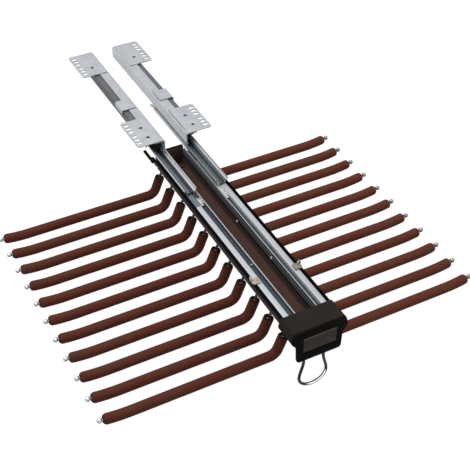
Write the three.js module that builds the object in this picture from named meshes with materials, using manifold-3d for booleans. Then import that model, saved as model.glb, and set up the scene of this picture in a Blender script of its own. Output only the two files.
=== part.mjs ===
// Pull out trouser rack for the underside of a wardrobe shelf, shown pulled out.
// Lengths are millimetres. X runs to the right, Y to the back of the wardrobe, Z up.
// The origin lies in the plane of the shelf, midway between the two brackets, at their front edge.

import * as THREE from 'three';
import { mergeVertices } from 'three/addons/utils/BufferGeometryUtils.js';
import Module from 'manifold-3d';

const wasm = await Module();
wasm.setup();

// Driving dimensions

const armCount = 11;
const armPitch = 38;
const armReach = 275.3;
const hangDepth = 46.1;
const rackTravel = 377;
const middleTravel = 101;
const bracketLength = 286;
const middleLength = 226;
const troughWidth = 24.4;
const troughDrop = 19.2;
const capDepth = 35;
const capHeight = 50;

// Gaps: touching pieces, sliding pieces, and the overrun of cutting tools

const seat = 0.3;
const slideGap = 1;
const overrun = 2;

// Facet counts of round bars, wires and balls, and of rounded corners

const barSides = 8;
const wireSides = 6;
const ballRows = 4;
const cornerSteps = 3;
const holeSteps = 2;

const sides = { left: -1, right: 1 };

// Solids: closed prisms along each axis, joins and cuts

function solidOf(geometry) {
  const plain = geometry.clone();
  plain.deleteAttribute('normal');
  plain.deleteAttribute('uv');
  const merged = mergeVertices(plain);
  const vertProperties = new Float32Array(merged.attributes.position.array);
  const triVerts = new Uint32Array(merged.index.array);
  return new wasm.Manifold(new wasm.Mesh({ numProp: 3, vertProperties, triVerts }));
}

function geometryOf(solid) {
  const mesh = solid.getMesh();
  const geometry = new THREE.BufferGeometry();
  geometry.setAttribute('position', new THREE.BufferAttribute(mesh.vertProperties, 3));
  geometry.setIndex(new THREE.BufferAttribute(mesh.triVerts, 1));
  geometry.computeVertexNormals();
  return geometry;
}

function join(...geometries) {
  const solids = geometries.map(solidOf);
  return geometryOf(solids.reduce((whole, solid) => whole.add(solid)));
}

function cut(geometry, tools) {
  return geometryOf(tools.map(solidOf).reduce((rest, tool) => rest.subtract(tool), solidOf(geometry)));
}

function prismAlongY(shape, front, rear, curveSegments = cornerSteps) {
  const options = { depth: rear - front, bevelEnabled: false, steps: 1, curveSegments };
  return new THREE.ExtrudeGeometry(shape, options).rotateX(Math.PI / 2).translate(0, rear, 0);
}

function prismAlongZ(shape, bottom, top, curveSegments = cornerSteps) {
  const options = { depth: top - bottom, bevelEnabled: false, steps: 1, curveSegments };
  return new THREE.ExtrudeGeometry(shape, options).translate(0, 0, bottom);
}

function prismAlongX(shape, left, right) {
  const options = { depth: right - left, bevelEnabled: false, steps: 1 };
  return new THREE.ExtrudeGeometry(shape, options).rotateX(Math.PI / 2).rotateZ(Math.PI / 2)
    .translate(left, 0, 0);
}

function block(x0, x1, y0, y1, z0, z1) {
  const box = new THREE.BoxGeometry(Math.abs(x1 - x0), Math.abs(y1 - y0), Math.abs(z1 - z0));
  return box.translate((x0 + x1) / 2, (y0 + y1) / 2, (z0 + z1) / 2);
}

function roundBar(radius, from, to, count = barSides) {
  const axis = new THREE.Vector3().subVectors(to, from);
  const bar = new THREE.CylinderGeometry(radius, radius, axis.length(), count);
  bar.applyQuaternion(new THREE.Quaternion().setFromUnitVectors(
    new THREE.Vector3(0, 1, 0), axis.clone().normalize()));
  return bar.translate((from.x + to.x) / 2, (from.y + to.y) / 2, (from.z + to.z) / 2);
}

function ball(radius) {
  return new THREE.SphereGeometry(radius, wireSides, ballRows).rotateZ(Math.PI / 2);
}

function at(x, y, z) {
  return new THREE.Vector3(x, y, z);
}

function outline(points) {
  return new THREE.Shape(points.map(([u, v]) => new THREE.Vector2(u, v)));
}

// The outline of a folded sheet, from the middle line of its section
function foldedSheet(points, sheet, side = 1) {
  const line = points.map(([x, z]) => new THREE.Vector2(side * x, z));
  const headings = line.slice(1).map((point, index) => point.clone().sub(line[index]).normalize());
  const edge = sign => line.map((point, index) => {
    const before = headings[Math.max(index - 1, 0)];
    const after = headings[Math.min(index, headings.length - 1)];
    const mean = before.clone().add(after).normalize();
    const reach = sign * sheet / 2 / mean.dot(before);
    return new THREE.Vector2(point.x - mean.y * reach, point.y + mean.x * reach);
  });
  return new THREE.Shape([...edge(1), ...edge(-1).reverse()]);
}

// Finishes

function zincPlated() {
  return new THREE.MeshStandardMaterial({ color: 0xb9bdc2, roughness: 0.42, metalness: 0.85 });
}

function bareSteel() {
  return new THREE.MeshStandardMaterial({ color: 0xcfd6da, roughness: 0.28, metalness: 0.9 });
}

function darkSteel() {
  return new THREE.MeshStandardMaterial({ color: 0x4a4b50, roughness: 0.5, metalness: 0.6 });
}

function chrome() {
  return new THREE.MeshStandardMaterial({ color: 0xd9dcdf, roughness: 0.1, metalness: 1 });
}

function darkWire() {
  return new THREE.MeshStandardMaterial({ color: 0x6f7174, roughness: 0.16, metalness: 1 });
}

function brownExtrusion() {
  return new THREE.MeshStandardMaterial({ color: 0x3a2c28, roughness: 0.5, metalness: 0.1 });
}

function blackPlastic() {
  return new THREE.MeshStandardMaterial({ color: 0x23201e, roughness: 0.55, metalness: 0 });
}

function greyLabel() {
  return new THREE.MeshStandardMaterial({ color: 0x3f3b36, roughness: 0.6, metalness: 0 });
}

function beigePlastic() {
  return new THREE.MeshStandardMaterial({ color: 0xb8afa0, roughness: 0.55, metalness: 0 });
}

function whitePlastic() {
  return new THREE.MeshStandardMaterial({ color: 0xe4e4e0, roughness: 0.5, metalness: 0 });
}

function brownSleeve() {
  return new THREE.MeshStandardMaterial({ color: 0x5a2d22, roughness: 0.85, metalness: 0 });
}

// Stack of the slides, across one side: race of the inner rail, its strip, middle rail over both

const innerSheet = 1.2;
const raceBallRadius = 1.1;
const guideBallRadius = 1.6;
const ballPlay = 0.3;
const runnerSheet = 1.5;
const stripWidth = 8.2;
const middleSheet = 1.2;
const middleInset = 3.65;
const guideWidth = 12.4;
const channelGap = 2.9;
const troughWall = 2.3;
const carrierWall = 1.8;

const troughHalf = troughWidth / 2;
const troughOuter = troughHalf + troughWall;
const innerFace = troughOuter + seat;
const raceInboard = innerFace + innerSheet;
const raceRoom = raceBallRadius * 2 + ballPlay * 2;
const runnerX = raceInboard + raceRoom + runnerSheet / 2;
const raceOutboard = runnerX + runnerSheet / 2 + raceRoom;
const stripEdge = raceOutboard + stripWidth;
const carrierHalf = stripEdge + channelGap + carrierWall;
const guideRoom = guideBallRadius * 2 + ballPlay * 2;
const guideInboard = runnerX - middleInset + middleSheet;
const guideOutboard = guideInboard + guideWidth;
const boxInboard = guideInboard + guideRoom;
const boxOutboard = guideOutboard - guideRoom;

// Stack of the slides, downward from the shelf

const bracketSheet = 1.5;
const plateRise = 1;
const outerSheet = 1.3;
const outerDepth = 21.4;
const middleLip = 5.6;
const leverSheet = 1.5;
const rimRise = 0.5;
const raceDepth = 8.6;
const cageSheet = 0.8;

const stripTop = -plateRise;
const stripBottom = stripTop - bracketSheet;
const outerTop = stripBottom - seat;
const outerBottom = outerTop - outerDepth;
const cageRoom = cageSheet + seat * 2;
const middleWebTop = outerBottom - cageRoom;
const middleWebBottom = middleWebTop - middleSheet;
const middleRim = middleWebTop + middleLip;
const leverTop = middleWebBottom - seat;
const innerStripTop = leverTop - leverSheet - seat;
const innerRim = innerStripTop + rimRise;
const innerBottom = innerStripTop - raceDepth;
const runnerBottom = innerStripTop - seat - raceBallRadius * 2 - ballPlay;

// Stack of the carrier and the rods, downward from the inner rails

const shelfSheet = 1.5;
const floorSheet = 2;
const rodRadius = 2.1;
const clampHeight = 8.2;
const tipRise = 4.5;

const carrierShelfTop = innerBottom - seat;
const carrierShelfBottom = carrierShelfTop - shelfSheet;
const floorTop = carrierShelfTop - troughDrop;
const floorBottom = floorTop - floorSheet;
const clampTop = floorBottom - seat;
const clampBottom = clampTop - clampHeight;
const runZ = clampTop - rodRadius;
const armZ = runZ - hangDepth;

// Places along the slide, from the front edge of the brackets at zero

const backArmOffset = 12.3;
const frontArmOffset = 17;
const frontPlateSheet = 3.5;
const innerIntoHood = 13;

const hoodRear = -(rackTravel + slideGap);
const plateFront = hoodRear - capDepth;
const plateRear = plateFront + frontPlateSheet;
const frontArmY = hoodRear + frontArmOffset;
const backArmY = frontArmY + (armCount - 1) * armPitch;
const carrierFront = plateRear + seat;
const carrierRear = backArmY - backArmOffset;
const innerFront = hoodRear - innerIntoHood;
const middleFront = -middleTravel;
const middleRear = middleFront + middleLength;

function armY(index) {
  return backArmY - index * armPitch;
}

// Shelf bracket: inner wall with a return lip, long strip, two screw plates and a clamp tab

const lipLength = 1.5;
const lipGap = 0.7;
const bracketStripWidth = 14.1;
const plateWidth = 42.8;
const plateLength = 69.5;
const plateCorner = 6;
const slotLength = 7.4;
const slotWidth = 5.2;
const slotSpacing = 8.9;
const slotSplit = 7;
const slotEdge = 3;
const studRadius = 2;
const studHole = 2.5;
const studEdge = 4.8;
const tabFront = 100;
const tabLength = 28;
const tabDrop = 8;

const outerWidth = 20.45;
const lipEnd = boxInboard - lipGap;
const bracketFace = lipEnd - lipLength - bracketSheet;
const outerOutboard = boxInboard + outerWidth;
const bracketBottom = middleRim + slideGap;
const plateEdge = bracketFace + plateWidth;
const backPlateFront = bracketLength - plateLength;
const studX = outerOutboard - studEdge;
const tabInner = outerOutboard + seat;
const frontStudShares = [0.26, 0.65];
const backStudShare = 0.33;
const studPlaces = [
  ...frontStudShares.map(share => plateLength * share),
  backPlateFront + plateLength * backStudShare,
];

// Distances of the slots from the middle of their plate, with a wider gap in the middle
const slotOffsets = [-2, -1, 0, 0, 1, 2].map((step, index) => (
  step * slotSpacing + (index < 3 ? -slotSplit : slotSplit)));

function plateShape(side, front) {
  const shape = new THREE.Shape();
  const inner = side * bracketFace;
  const outer = side * plateEdge;
  const turn = side * plateCorner;
  const rear = front + plateLength;
  shape.moveTo(inner, front);
  shape.lineTo(outer - turn, front);
  shape.quadraticCurveTo(outer, front, outer, front + plateCorner);
  shape.lineTo(outer, rear - plateCorner);
  shape.quadraticCurveTo(outer, rear, outer - turn, rear);
  shape.lineTo(inner, rear);
  shape.holes.push(...slotOffsets.map(offset => slotHole(side, front + plateLength / 2 + offset)));
  return shape;
}

function slotHole(side, y) {
  const half = slotLength / 2 - slotWidth / 2;
  const x = side * (plateEdge - slotEdge - slotLength / 2);
  const hole = new THREE.Path();
  hole.absarc(x + half, y, slotWidth / 2, -Math.PI / 2, Math.PI / 2);
  hole.absarc(x - half, y, slotWidth / 2, Math.PI / 2, Math.PI * 1.5);
  return hole;
}

function bracketGeometry(side) {
  const wall = bracketFace + bracketSheet / 2;
  const strip = stripTop - bracketSheet / 2;
  const lip = bracketBottom + bracketSheet / 2;
  const stripLine = [[wall, strip], [wall + bracketStripWidth, strip]];
  const section = [[lipEnd, lip], [wall, lip], ...stripLine];
  const fold = prismAlongY(foldedSheet(section, bracketSheet, side), 0, bracketLength);
  const frontPlate = prismAlongZ(plateShape(side, 0), -bracketSheet, 0, holeSteps);
  const backPlate = prismAlongZ(plateShape(side, backPlateFront), -bracketSheet, 0, holeSteps);
  const bend = tabInner + bracketSheet / 2;
  const tabLine = [[wall, -bracketSheet / 2], [bend, -bracketSheet / 2], [bend, -tabDrop]];
  const tab = prismAlongY(foldedSheet(tabLine, bracketSheet, side), tabFront, tabFront + tabLength);
  const holes = studPlaces.map(y => roundBar(
    studHole, at(side * studX, y, -bracketSheet - overrun), at(side * studX, y, overrun)));
  return cut(join(fold, frontPlate, backPlate, tab), holes);
}

// Outer rail: dark sheet with a guide box that hangs into the middle rail, studs in the bracket's holes

const outerWallDrop = 13;
const outerSetback = 15;
const boxReturn = 13;
const studTop = 0.4;

function outerRailGeometry(side) {
  const half = outerSheet / 2;
  const section = [
    [outerOutboard - half, outerTop - outerWallDrop],
    [outerOutboard - half, outerTop - half],
    [boxInboard + half, outerTop - half],
    [boxInboard + half, outerBottom + half],
    [boxOutboard - half, outerBottom + half],
    [boxOutboard - half, outerBottom + boxReturn],
  ];
  const rail = prismAlongY(foldedSheet(section, outerSheet, side), outerSetback, bracketLength);
  const studs = studPlaces.map(y => roundBar(
    studRadius, at(side * studX, y, outerTop - half), at(side * studX, y, -studTop)));
  return join(rail, ...studs);
}

// Middle rail: channel with a sloping race inboard and a flange outboard, and the runner below it

const raceCut = 3.35;
const flangeRise = 6.6;
const flangeWidth = 5.4;
const flangeLip = 3;

function middleRailGeometry(side) {
  const half = middleSheet / 2;
  const wall = guideInboard - half;
  const web = middleWebTop - half;
  const flange = middleWebTop + flangeRise - half;
  const edge = guideOutboard + flangeWidth - half;
  const channel = [
    [wall, middleRim],
    [wall, web + raceCut],
    [wall + raceCut, web],
    [guideOutboard + half, web],
    [guideOutboard + half, flange],
    [edge, flange],
    [edge, flange + half - flangeLip],
  ];
  const runner = [[runnerX, runnerBottom], [runnerX, middleWebTop - half / 2]];
  return join(
    prismAlongY(foldedSheet(channel, middleSheet, side), middleFront, middleRear),
    prismAlongY(foldedSheet(runner, runnerSheet, side), middleFront, middleRear));
}

// Inner rail: race with a thin inner rim, wide strip, and a foot that stands in the carrier

const rivetRadius = 1.2;
const rivetHole = 1.6;
const rivetShare = 0.295;
const rivetDrop = 6;
const leverPinRadius = 1.2;
const leverPinHole = 1.6;
const leverShare = 0.195;
const leverPinShare = 0.6;

const rivetY = hoodRear + rackTravel * rivetShare;
const rivetZ = innerRim - rivetDrop;
const leverY = hoodRear + rackTravel * leverShare;
const leverPinX = raceOutboard + stripWidth * leverPinShare;

function innerRailGeometry(side) {
  const half = innerSheet / 2;
  const section = [
    [innerFace + half, innerRim],
    [innerFace + half, innerBottom + half],
    [raceOutboard + half, innerBottom + half],
    [raceOutboard + half, innerStripTop - half],
    [stripEdge - half, innerStripTop - half],
    [stripEdge - half, innerBottom],
  ];
  const rail = prismAlongY(foldedSheet(section, innerSheet, side), innerFront, carrierRear);
  const rivet = roundBar(rivetHole, at(side * (innerFace - overrun), rivetY, rivetZ),
    at(side * (raceInboard + overrun), rivetY, rivetZ));
  const pinX = side * leverPinX;
  const pin = roundBar(leverPinHole, at(pinX, leverY, innerStripTop - innerSheet - overrun),
    at(pinX, leverY, innerStripTop + overrun));
  return cut(rail, [rivet, pin]);
}

// Ball cages: a folded strip round the guide, with its balls

const cageLength = 96;
const cageShow = 27;
const cageBalls = 3;
const cageCutShare = 0.45;

function cageGeometry(side, section, front, radius) {
  const strip = prismAlongY(foldedSheet(section, cageSheet, side), front, front + cageLength);
  const ends = [section[0], section[section.length - 1]];
  const balls = [];
  for (let index = 0; index < cageBalls; index += 1) {
    const y = front + cageLength * (index + 1 / 2) / cageBalls;
    for (const [x, top] of ends) {
      balls.push(ball(radius).translate(side * x, y, top - radius));
    }
  }
  return join(strip, ...balls);
}

function innerCageGeometry(side) {
  const reach = runnerSheet / 2 + raceRoom / 2;
  const top = innerStripTop - seat;
  const bottom = runnerBottom - seat - cageSheet / 2;
  const section = [
    [runnerX - reach, top],
    [runnerX - reach, bottom],
    [runnerX + reach, bottom],
    [runnerX + reach, top],
  ];
  return cageGeometry(side, section, middleFront - cageShow, raceBallRadius);
}

function outerCageGeometry(side) {
  const inboard = guideInboard + guideRoom / 2;
  const outboard = guideOutboard - guideRoom / 2;
  const top = middleRim - seat;
  const bottom = middleWebTop + seat + cageSheet / 2;
  const corner = raceCut * cageCutShare;
  const section = [
    [inboard, top],
    [inboard, bottom + corner],
    [inboard + corner, bottom],
    [outboard, bottom],
    [outboard, top],
  ];
  return cageGeometry(side, section, outerSetback + slideGap, guideBallRadius);
}

// Carrier: centre trough, two side channels for the inner rails, holes for rivets and clamp screws

const upperWall = 1.6;
const stepDrop = 5.2;
const rimShow = 1.8;
const screwRadius = 1.6;
const screwHole = 2;
const screwIndexes = [1, 5, 9];

function screwY(gap) {
  return armY(gap) - armPitch / 2;
}

function carrierGeometry() {
  const half = [
    [troughOuter, floorBottom],
    [troughOuter, carrierShelfBottom],
    [carrierHalf, carrierShelfBottom],
    [carrierHalf, innerStripTop],
    [carrierHalf - carrierWall, innerStripTop],
    [carrierHalf - carrierWall, carrierShelfTop],
    [troughOuter, carrierShelfTop],
    [troughOuter, innerRim - rimShow],
    [troughOuter - upperWall, innerRim - rimShow],
    [troughOuter - upperWall, carrierShelfTop - stepDrop],
    [troughHalf, carrierShelfTop - stepDrop],
    [troughHalf, floorTop],
  ];
  const mirrored = half.map(([x, z]) => [-x, z]).reverse();
  const body = prismAlongY(outline([...half, ...mirrored]), carrierFront, carrierRear);
  const rivets = Object.values(sides).map(side => roundBar(rivetHole,
    at(side * (troughHalf - overrun), rivetY, rivetZ),
    at(side * (innerFace + overrun), rivetY, rivetZ)));
  const screws = screwIndexes.map(gap => roundBar(
    screwHole, at(0, screwY(gap), floorBottom - overrun), at(0, screwY(gap), floorTop + overrun)));
  return cut(body, [...rivets, ...screws]);
}

// Rivet: head in the trough, shank through the walls of the carrier and the inner rail

const rivetHead = 2.3;
const rivetHeadHeight = 0.9;
const headFaceShare = 0.7;

function rivetGeometry(side) {
  const headFace = troughOuter - upperWall - seat;
  const shankEnd = raceInboard - headFace + rivetHeadHeight;
  const profile = [
    new THREE.Vector2(0, 0),
    new THREE.Vector2(rivetHead * headFaceShare, 0),
    new THREE.Vector2(rivetHead, rivetHeadHeight),
    new THREE.Vector2(rivetRadius, rivetHeadHeight),
    new THREE.Vector2(rivetRadius, shankEnd),
    new THREE.Vector2(0, shankEnd),
  ];
  const rivet = new THREE.LatheGeometry(profile, barSides);
  return rivet.rotateZ(-side * Math.PI / 2).translate(side * (headFace - rivetHeadHeight), 0, 0);
}

// Clamp bar: a groove for each rod, screwed up against the floor of the carrier

const clampHalf = 9.5;
const grooveGap = 0.35;
const clampFrontGap = 3;
const clampRearReach = 7;
const screwHeadRadius = 3.4;
const screwHeadHeight = 1.3;
const screwLength = 9;

function clampBarGeometry() {
  const front = hoodRear + clampFrontGap;
  const rear = backArmY + clampRearReach;
  const grooveHalf = rodRadius + grooveGap;
  const grooveFloor = runZ - grooveHalf;
  const top = [[front, clampTop]];
  for (let index = armCount - 1; index >= 0; index -= 1) {
    const y = armY(index);
    top.push([y - grooveHalf, clampTop], [y - grooveHalf, grooveFloor]);
    top.push([y + grooveHalf, grooveFloor], [y + grooveHalf, clampTop]);
  }
  top.push([rear, clampTop], [rear, clampBottom], [front, clampBottom]);
  const bar = prismAlongX(outline(top), -clampHalf, clampHalf);
  const holes = screwIndexes.map(gap => roundBar(
    screwHole, at(0, screwY(gap), clampBottom - overrun), at(0, screwY(gap), clampTop + overrun)));
  return cut(bar, holes);
}

function clampScrewGeometry() {
  const profile = [
    new THREE.Vector2(0, -screwHeadHeight),
    new THREE.Vector2(screwHeadRadius * headFaceShare, -screwHeadHeight),
    new THREE.Vector2(screwHeadRadius, 0),
    new THREE.Vector2(screwRadius, 0),
    new THREE.Vector2(screwRadius, screwLength),
    new THREE.Vector2(0, screwLength),
  ];
  return new THREE.LatheGeometry(profile, barSides);
}

// Rear end cap: a plug in the trough, a plate behind it and a foot over the last rod

const endPlateSheet = 3;
const endPlateRise = 4.9;
const endPlateCorner = 2.5;
const endPlug = 10;
const endPlugHeight = 10;
const endFootHeight = 12;

function endCapGeometry() {
  const top = innerRim + endPlateRise;
  const plate = new THREE.Shape();
  plate.moveTo(-troughOuter, clampTop + seat);
  plate.lineTo(troughOuter, clampTop + seat);
  plate.lineTo(troughOuter, top - endPlateCorner);
  plate.quadraticCurveTo(troughOuter, top, troughOuter - endPlateCorner, top);
  plate.lineTo(endPlateCorner - troughOuter, top);
  plate.quadraticCurveTo(-troughOuter, top, -troughOuter, top - endPlateCorner);
  const plateFace = carrierRear + seat;
  const plateBack = plateFace + endPlateSheet;
  const plateMiddle = plateFace + endPlateSheet / 2;
  const plug = troughHalf - seat;
  return join(
    prismAlongY(plate, plateFace, plateBack),
    block(-plug, plug, carrierRear - endPlug, plateMiddle, floorTop + seat, floorTop + endPlugHeight),
    block(-plug, plug, plateMiddle, backArmY + clampRearReach,
      floorBottom, floorBottom + endFootHeight));
}

// Front cap: hood over the end of the carrier, front plate with a label pocket, sockets for the loop

const hoodSheet = 1.8;
const hoodShoulder = 0.8;
const hoodFlare = 3.8;
const hoodDrop = 10.5;
const hoodSkirt = 4;
const neckHalf = 33;
const neckDrop = 9.5;
const chinHalf = 32;
const chinCorner = 4.5;
const labelHalf = 23.6;
const labelHeight = 22;
const labelTopDrop = 12;
const labelProud = 0.5;
const labelDepth = 1.6;
const loopWire = 1.5;
const loopHalf = 14.4;
const socketHalf = 20;
const socketDepth = 16.5;
const socketHeight = 14.7;
const socketRoofShare = 0.25;
const socketGap = 0.4;
const loopOffset = 8.5;

const hoodInside = innerRim + seat;
const hoodTop = hoodInside + hoodSheet;
const hoodHalf = carrierHalf + hoodShoulder;
const flareHalf = carrierHalf + hoodFlare;
const flareTop = hoodTop - hoodDrop;
const skirtBottom = flareTop - hoodSkirt;
const chinBottom = hoodTop - capHeight;
const labelTop = hoodTop - labelTopDrop;
const labelBottom = labelTop - labelHeight;
const loopY = plateRear + loopOffset;
const socketRoof = floorBottom - seat - socketHeight * socketRoofShare;

function hoodShape() {
  const inner = carrierHalf + seat;
  const half = [
    [inner, skirtBottom],
    [flareHalf, skirtBottom],
    [flareHalf, flareTop],
    [hoodHalf, hoodTop],
  ];
  const mirrored = half.map(([x, z]) => [-x, z]).reverse();
  return outline([...half, ...mirrored, [-inner, hoodInside], [inner, hoodInside]]);
}

function frontPlateShape() {
  const neck = skirtBottom - neckDrop;
  const plate = new THREE.Shape();
  plate.moveTo(-hoodHalf, hoodTop);
  plate.lineTo(-flareHalf, flareTop);
  plate.lineTo(-flareHalf, skirtBottom);
  plate.lineTo(-neckHalf, neck);
  plate.lineTo(-chinHalf, chinBottom + chinCorner);
  plate.quadraticCurveTo(-chinHalf, chinBottom, chinCorner - chinHalf, chinBottom);
  plate.lineTo(chinHalf - chinCorner, chinBottom);
  plate.quadraticCurveTo(chinHalf, chinBottom, chinHalf, chinBottom + chinCorner);
  plate.lineTo(neckHalf, neck);
  plate.lineTo(flareHalf, skirtBottom);
  plate.lineTo(flareHalf, flareTop);
  plate.lineTo(hoodHalf, hoodTop);
  return plate;
}

function socketBore(side) {
  return roundBar(loopWire + socketGap,
    at(side * loopHalf, loopY, floorBottom - socketHeight - overrun),
    at(side * loopHalf, loopY, socketRoof));
}

function frontCapGeometry() {
  const blend = frontPlateSheet / 2;
  const hood = prismAlongY(hoodShape(), plateRear - blend, hoodRear);
  const plate = prismAlongY(frontPlateShape(), plateFront, plateRear);
  const socket = block(-socketHalf, socketHalf, plateRear - blend, plateRear + socketDepth,
    floorBottom - socketHeight, floorBottom - seat);
  const pocket = block(-labelHalf - seat, labelHalf + seat,
    plateFront - overrun, plateFront + labelDepth, labelBottom - seat, labelTop + seat);
  return cut(join(hood, plate, socket), [pocket, socketBore(-1), socketBore(1)]);
}

function labelGeometry() {
  const back = plateFront + labelDepth - seat;
  return block(-labelHalf, labelHalf, plateFront - labelProud, back, labelBottom, labelTop);
}

// Pull loop: two straight legs that widen into a half round bowl

const loopLegTop = socketRoof - seat;
const loopLegDrop = 28.7;
const loopFlareDrop = 29;
const bowlHalf = 20;
const bowlDrop = 18.5;
const loopSteps = 26;
const bendShare = 1 / 3;

function pullLoopGeometry() {
  const legBottom = loopLegTop - loopLegDrop;
  const bowlTop = legBottom - loopFlareDrop;
  const path = new THREE.CurvePath();
  const legPoint = (side, z) => at(side * loopHalf, 0, z);
  const flare = side => [
    legPoint(side, legBottom),
    legPoint(side, legBottom - loopFlareDrop * bendShare),
    at(side * bowlHalf, 0, bowlTop + loopFlareDrop * bendShare),
    at(side * bowlHalf, 0, bowlTop),
  ];
  path.add(new THREE.LineCurve3(legPoint(-1, loopLegTop), legPoint(-1, legBottom)));
  path.add(new THREE.CubicBezierCurve3(...flare(-1)));
  path.add(new BowlCurve(bowlHalf, bowlDrop, bowlTop));
  path.add(new THREE.CubicBezierCurve3(...flare(1).reverse()));
  path.add(new THREE.LineCurve3(legPoint(1, legBottom), legPoint(1, loopLegTop)));
  const ring = polygon(loopWire, wireSides);
  return new THREE.ExtrudeGeometry(ring, { steps: loopSteps, extrudePath: path });
}

class BowlCurve extends THREE.Curve {
  constructor(half, drop, top) {
    super();
    Object.assign(this, { half, drop, top });
  }

  getPoint(t, target = new THREE.Vector3()) {
    const turn = Math.PI * t;
    return target.set(-this.half * Math.cos(turn), 0, this.top - this.drop * Math.sin(turn));
  }
}

function polygon(radius, count) {
  const shape = new THREE.Shape();
  for (let index = 0; index < count; index += 1) {
    const turn = (index / count) * Math.PI * 2;
    const x = radius * Math.cos(turn);
    const y = radius * Math.sin(turn);
    if (index === 0) shape.moveTo(x, y);
    else shape.lineTo(x, y);
  }
  return shape;
}

// Release lever: a beige plate that turns on its pin in the strip, with a finger tab outboard

const leverLength = 11;
const leverReach = 2.8;
const leverInner = 0.9;
const leverPinDrop = 2.6;
const leverFrontShare = 0.35;
const leverRoundShare = 0.4;
const leverSideShare = 0.2;
const fingerSheet = 1.6;
const fingerLength = 4;
const fingerRise = 5;

function leverGeometry(side) {
  const inner = side * (raceOutboard + leverInner - leverPinX);
  const edge = carrierHalf + leverReach - leverPinX - fingerSheet;
  const outer = side * edge;
  const front = -leverLength * leverFrontShare;
  const rear = front + leverLength;
  const plate = new THREE.Shape();
  plate.moveTo(inner, front);
  plate.lineTo(outer * leverRoundShare, front);
  plate.quadraticCurveTo(outer, front, outer, leverLength * leverSideShare);
  plate.lineTo(outer, rear);
  plate.lineTo(inner, rear);
  const bottom = leverTop - leverSheet;
  const middle = leverTop - leverSheet / 2;
  const finger = block(side * (edge - fingerSheet), outer, rear - fingerLength, rear,
    middle, leverTop + fingerRise);
  const pin = roundBar(leverPinRadius, at(0, 0, bottom - leverPinDrop), at(0, 0, middle));
  return join(prismAlongZ(plate, bottom, leverTop), finger, pin);
}

// Damper: a finger beside the carrier's rear end with a bore for its thin rod

const damperHead = 2.4;
const damperBore = 1.1;
const damperRodRadius = 0.75;
const damperBall = 1.4;
const damperLength = 24;
const damperBlockLength = 7;
const damperBlockHeight = 7;
const damperDrop = 3;
const damperRodShow = 16;
const damperRodInside = 10;

const damperX = carrierHalf + seat + damperHead;
const damperZ = innerStripTop - damperDrop;
const damperFront = carrierRear - damperBlockLength;
const damperRear = damperFront + damperBlockLength + damperLength;

function damperBodyGeometry() {
  const x = -damperX;
  const blockHalf = damperBlockHeight / 2;
  const blockRear = damperFront + damperBlockLength;
  const body = join(
    block(-(carrierHalf + seat), x - damperHead / 2, damperFront, blockRear,
      damperZ - blockHalf, damperZ + blockHalf),
    roundBar(damperHead, at(x, blockRear - damperBlockLength / 2, damperZ), at(x, damperRear, damperZ)));
  const bore = roundBar(damperBore, at(x, damperFront - overrun, damperZ),
    at(x, damperRear - damperHead, damperZ), wireSides);
  return cut(body, [bore]);
}

function damperRodGeometry() {
  const front = at(0, -damperRodShow, 0);
  const rod = roundBar(damperRodRadius, front, at(0, damperRodInside, 0), wireSides);
  return join(rod, ball(damperBall).translate(0, -damperRodShow, 0));
}

// Rods and sleeves follow one line in a plane across the rack: out from under the carrier's floor,
// down a steep shoulder, round the elbow, straight out, and up a little at the tip

const shoulderX = 14.2;
const elbowX = 32.8;
const shoulderRadius = 6;
const elbowRadius = 14;
const tipCurveLength = 38;
const ballRadius = 3.75;
const neckLength = 4.8;
const sleeveTopDrop = 16.5;
const sleeveRadius = 6.75;
const sleeveBore = 2.85;
const shoulderSteps = 2;
const elbowSteps = 3;

const steepAngle = Math.atan2(hangDepth, elbowX - shoulderX);
const tipLength = tipCurveLength + neckLength;
const tipRadius = (tipLength ** 2 + tipRise ** 2) / (2 * tipRise);
const tipAngle = Math.asin(tipLength / tipRadius);
const sleeveEndAngle = Math.asin(tipCurveLength / tipRadius);

// A station is a point of the line with its heading, measured down from level
function station(x, z, heading) {
  return { x, z, heading };
}

// Stations of a rounded corner, from the heading before it to the heading after it
function cornerStations(x, z, radius, before, after, steps) {
  const turn = after - before;
  const reach = radius * Math.tan(Math.abs(turn) / 2);
  const startX = x - reach * Math.cos(before);
  const startZ = z + reach * Math.sin(before);
  const sign = Math.sign(turn);
  const centreX = startX - sign * radius * Math.sin(before);
  const centreZ = startZ - sign * radius * Math.cos(before);
  const stations = [];
  for (let step = 0; step <= steps; step += 1) {
    const heading = before + turn * step / steps;
    stations.push(station(centreX + sign * radius * Math.sin(heading),
      centreZ + sign * radius * Math.cos(heading), heading));
  }
  return stations;
}

function tipStation(angle) {
  const start = armReach - tipLength;
  return station(start + tipRadius * Math.sin(angle), armZ + tipRadius * (1 - Math.cos(angle)), -angle);
}

function sleeveStations() {
  const along = sleeveTopDrop / Math.sin(steepAngle);
  const top = station(shoulderX + along * Math.cos(steepAngle), runZ - sleeveTopDrop, steepAngle);
  return [
    top,
    ...cornerStations(elbowX, armZ, elbowRadius, steepAngle, 0, elbowSteps),
    tipStation(0),
    tipStation(sleeveEndAngle / 2),
    tipStation(sleeveEndAngle),
  ];
}

function rodStations() {
  const half = [
    ...cornerStations(shoulderX, runZ, shoulderRadius, 0, steepAngle, shoulderSteps),
    ...sleeveStations(),
    tipStation(tipAngle),
  ];
  const mirrored = half.map(({ x, z, heading }) => station(-x, z, -heading)).reverse();
  return [...mirrored, ...half];
}

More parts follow.
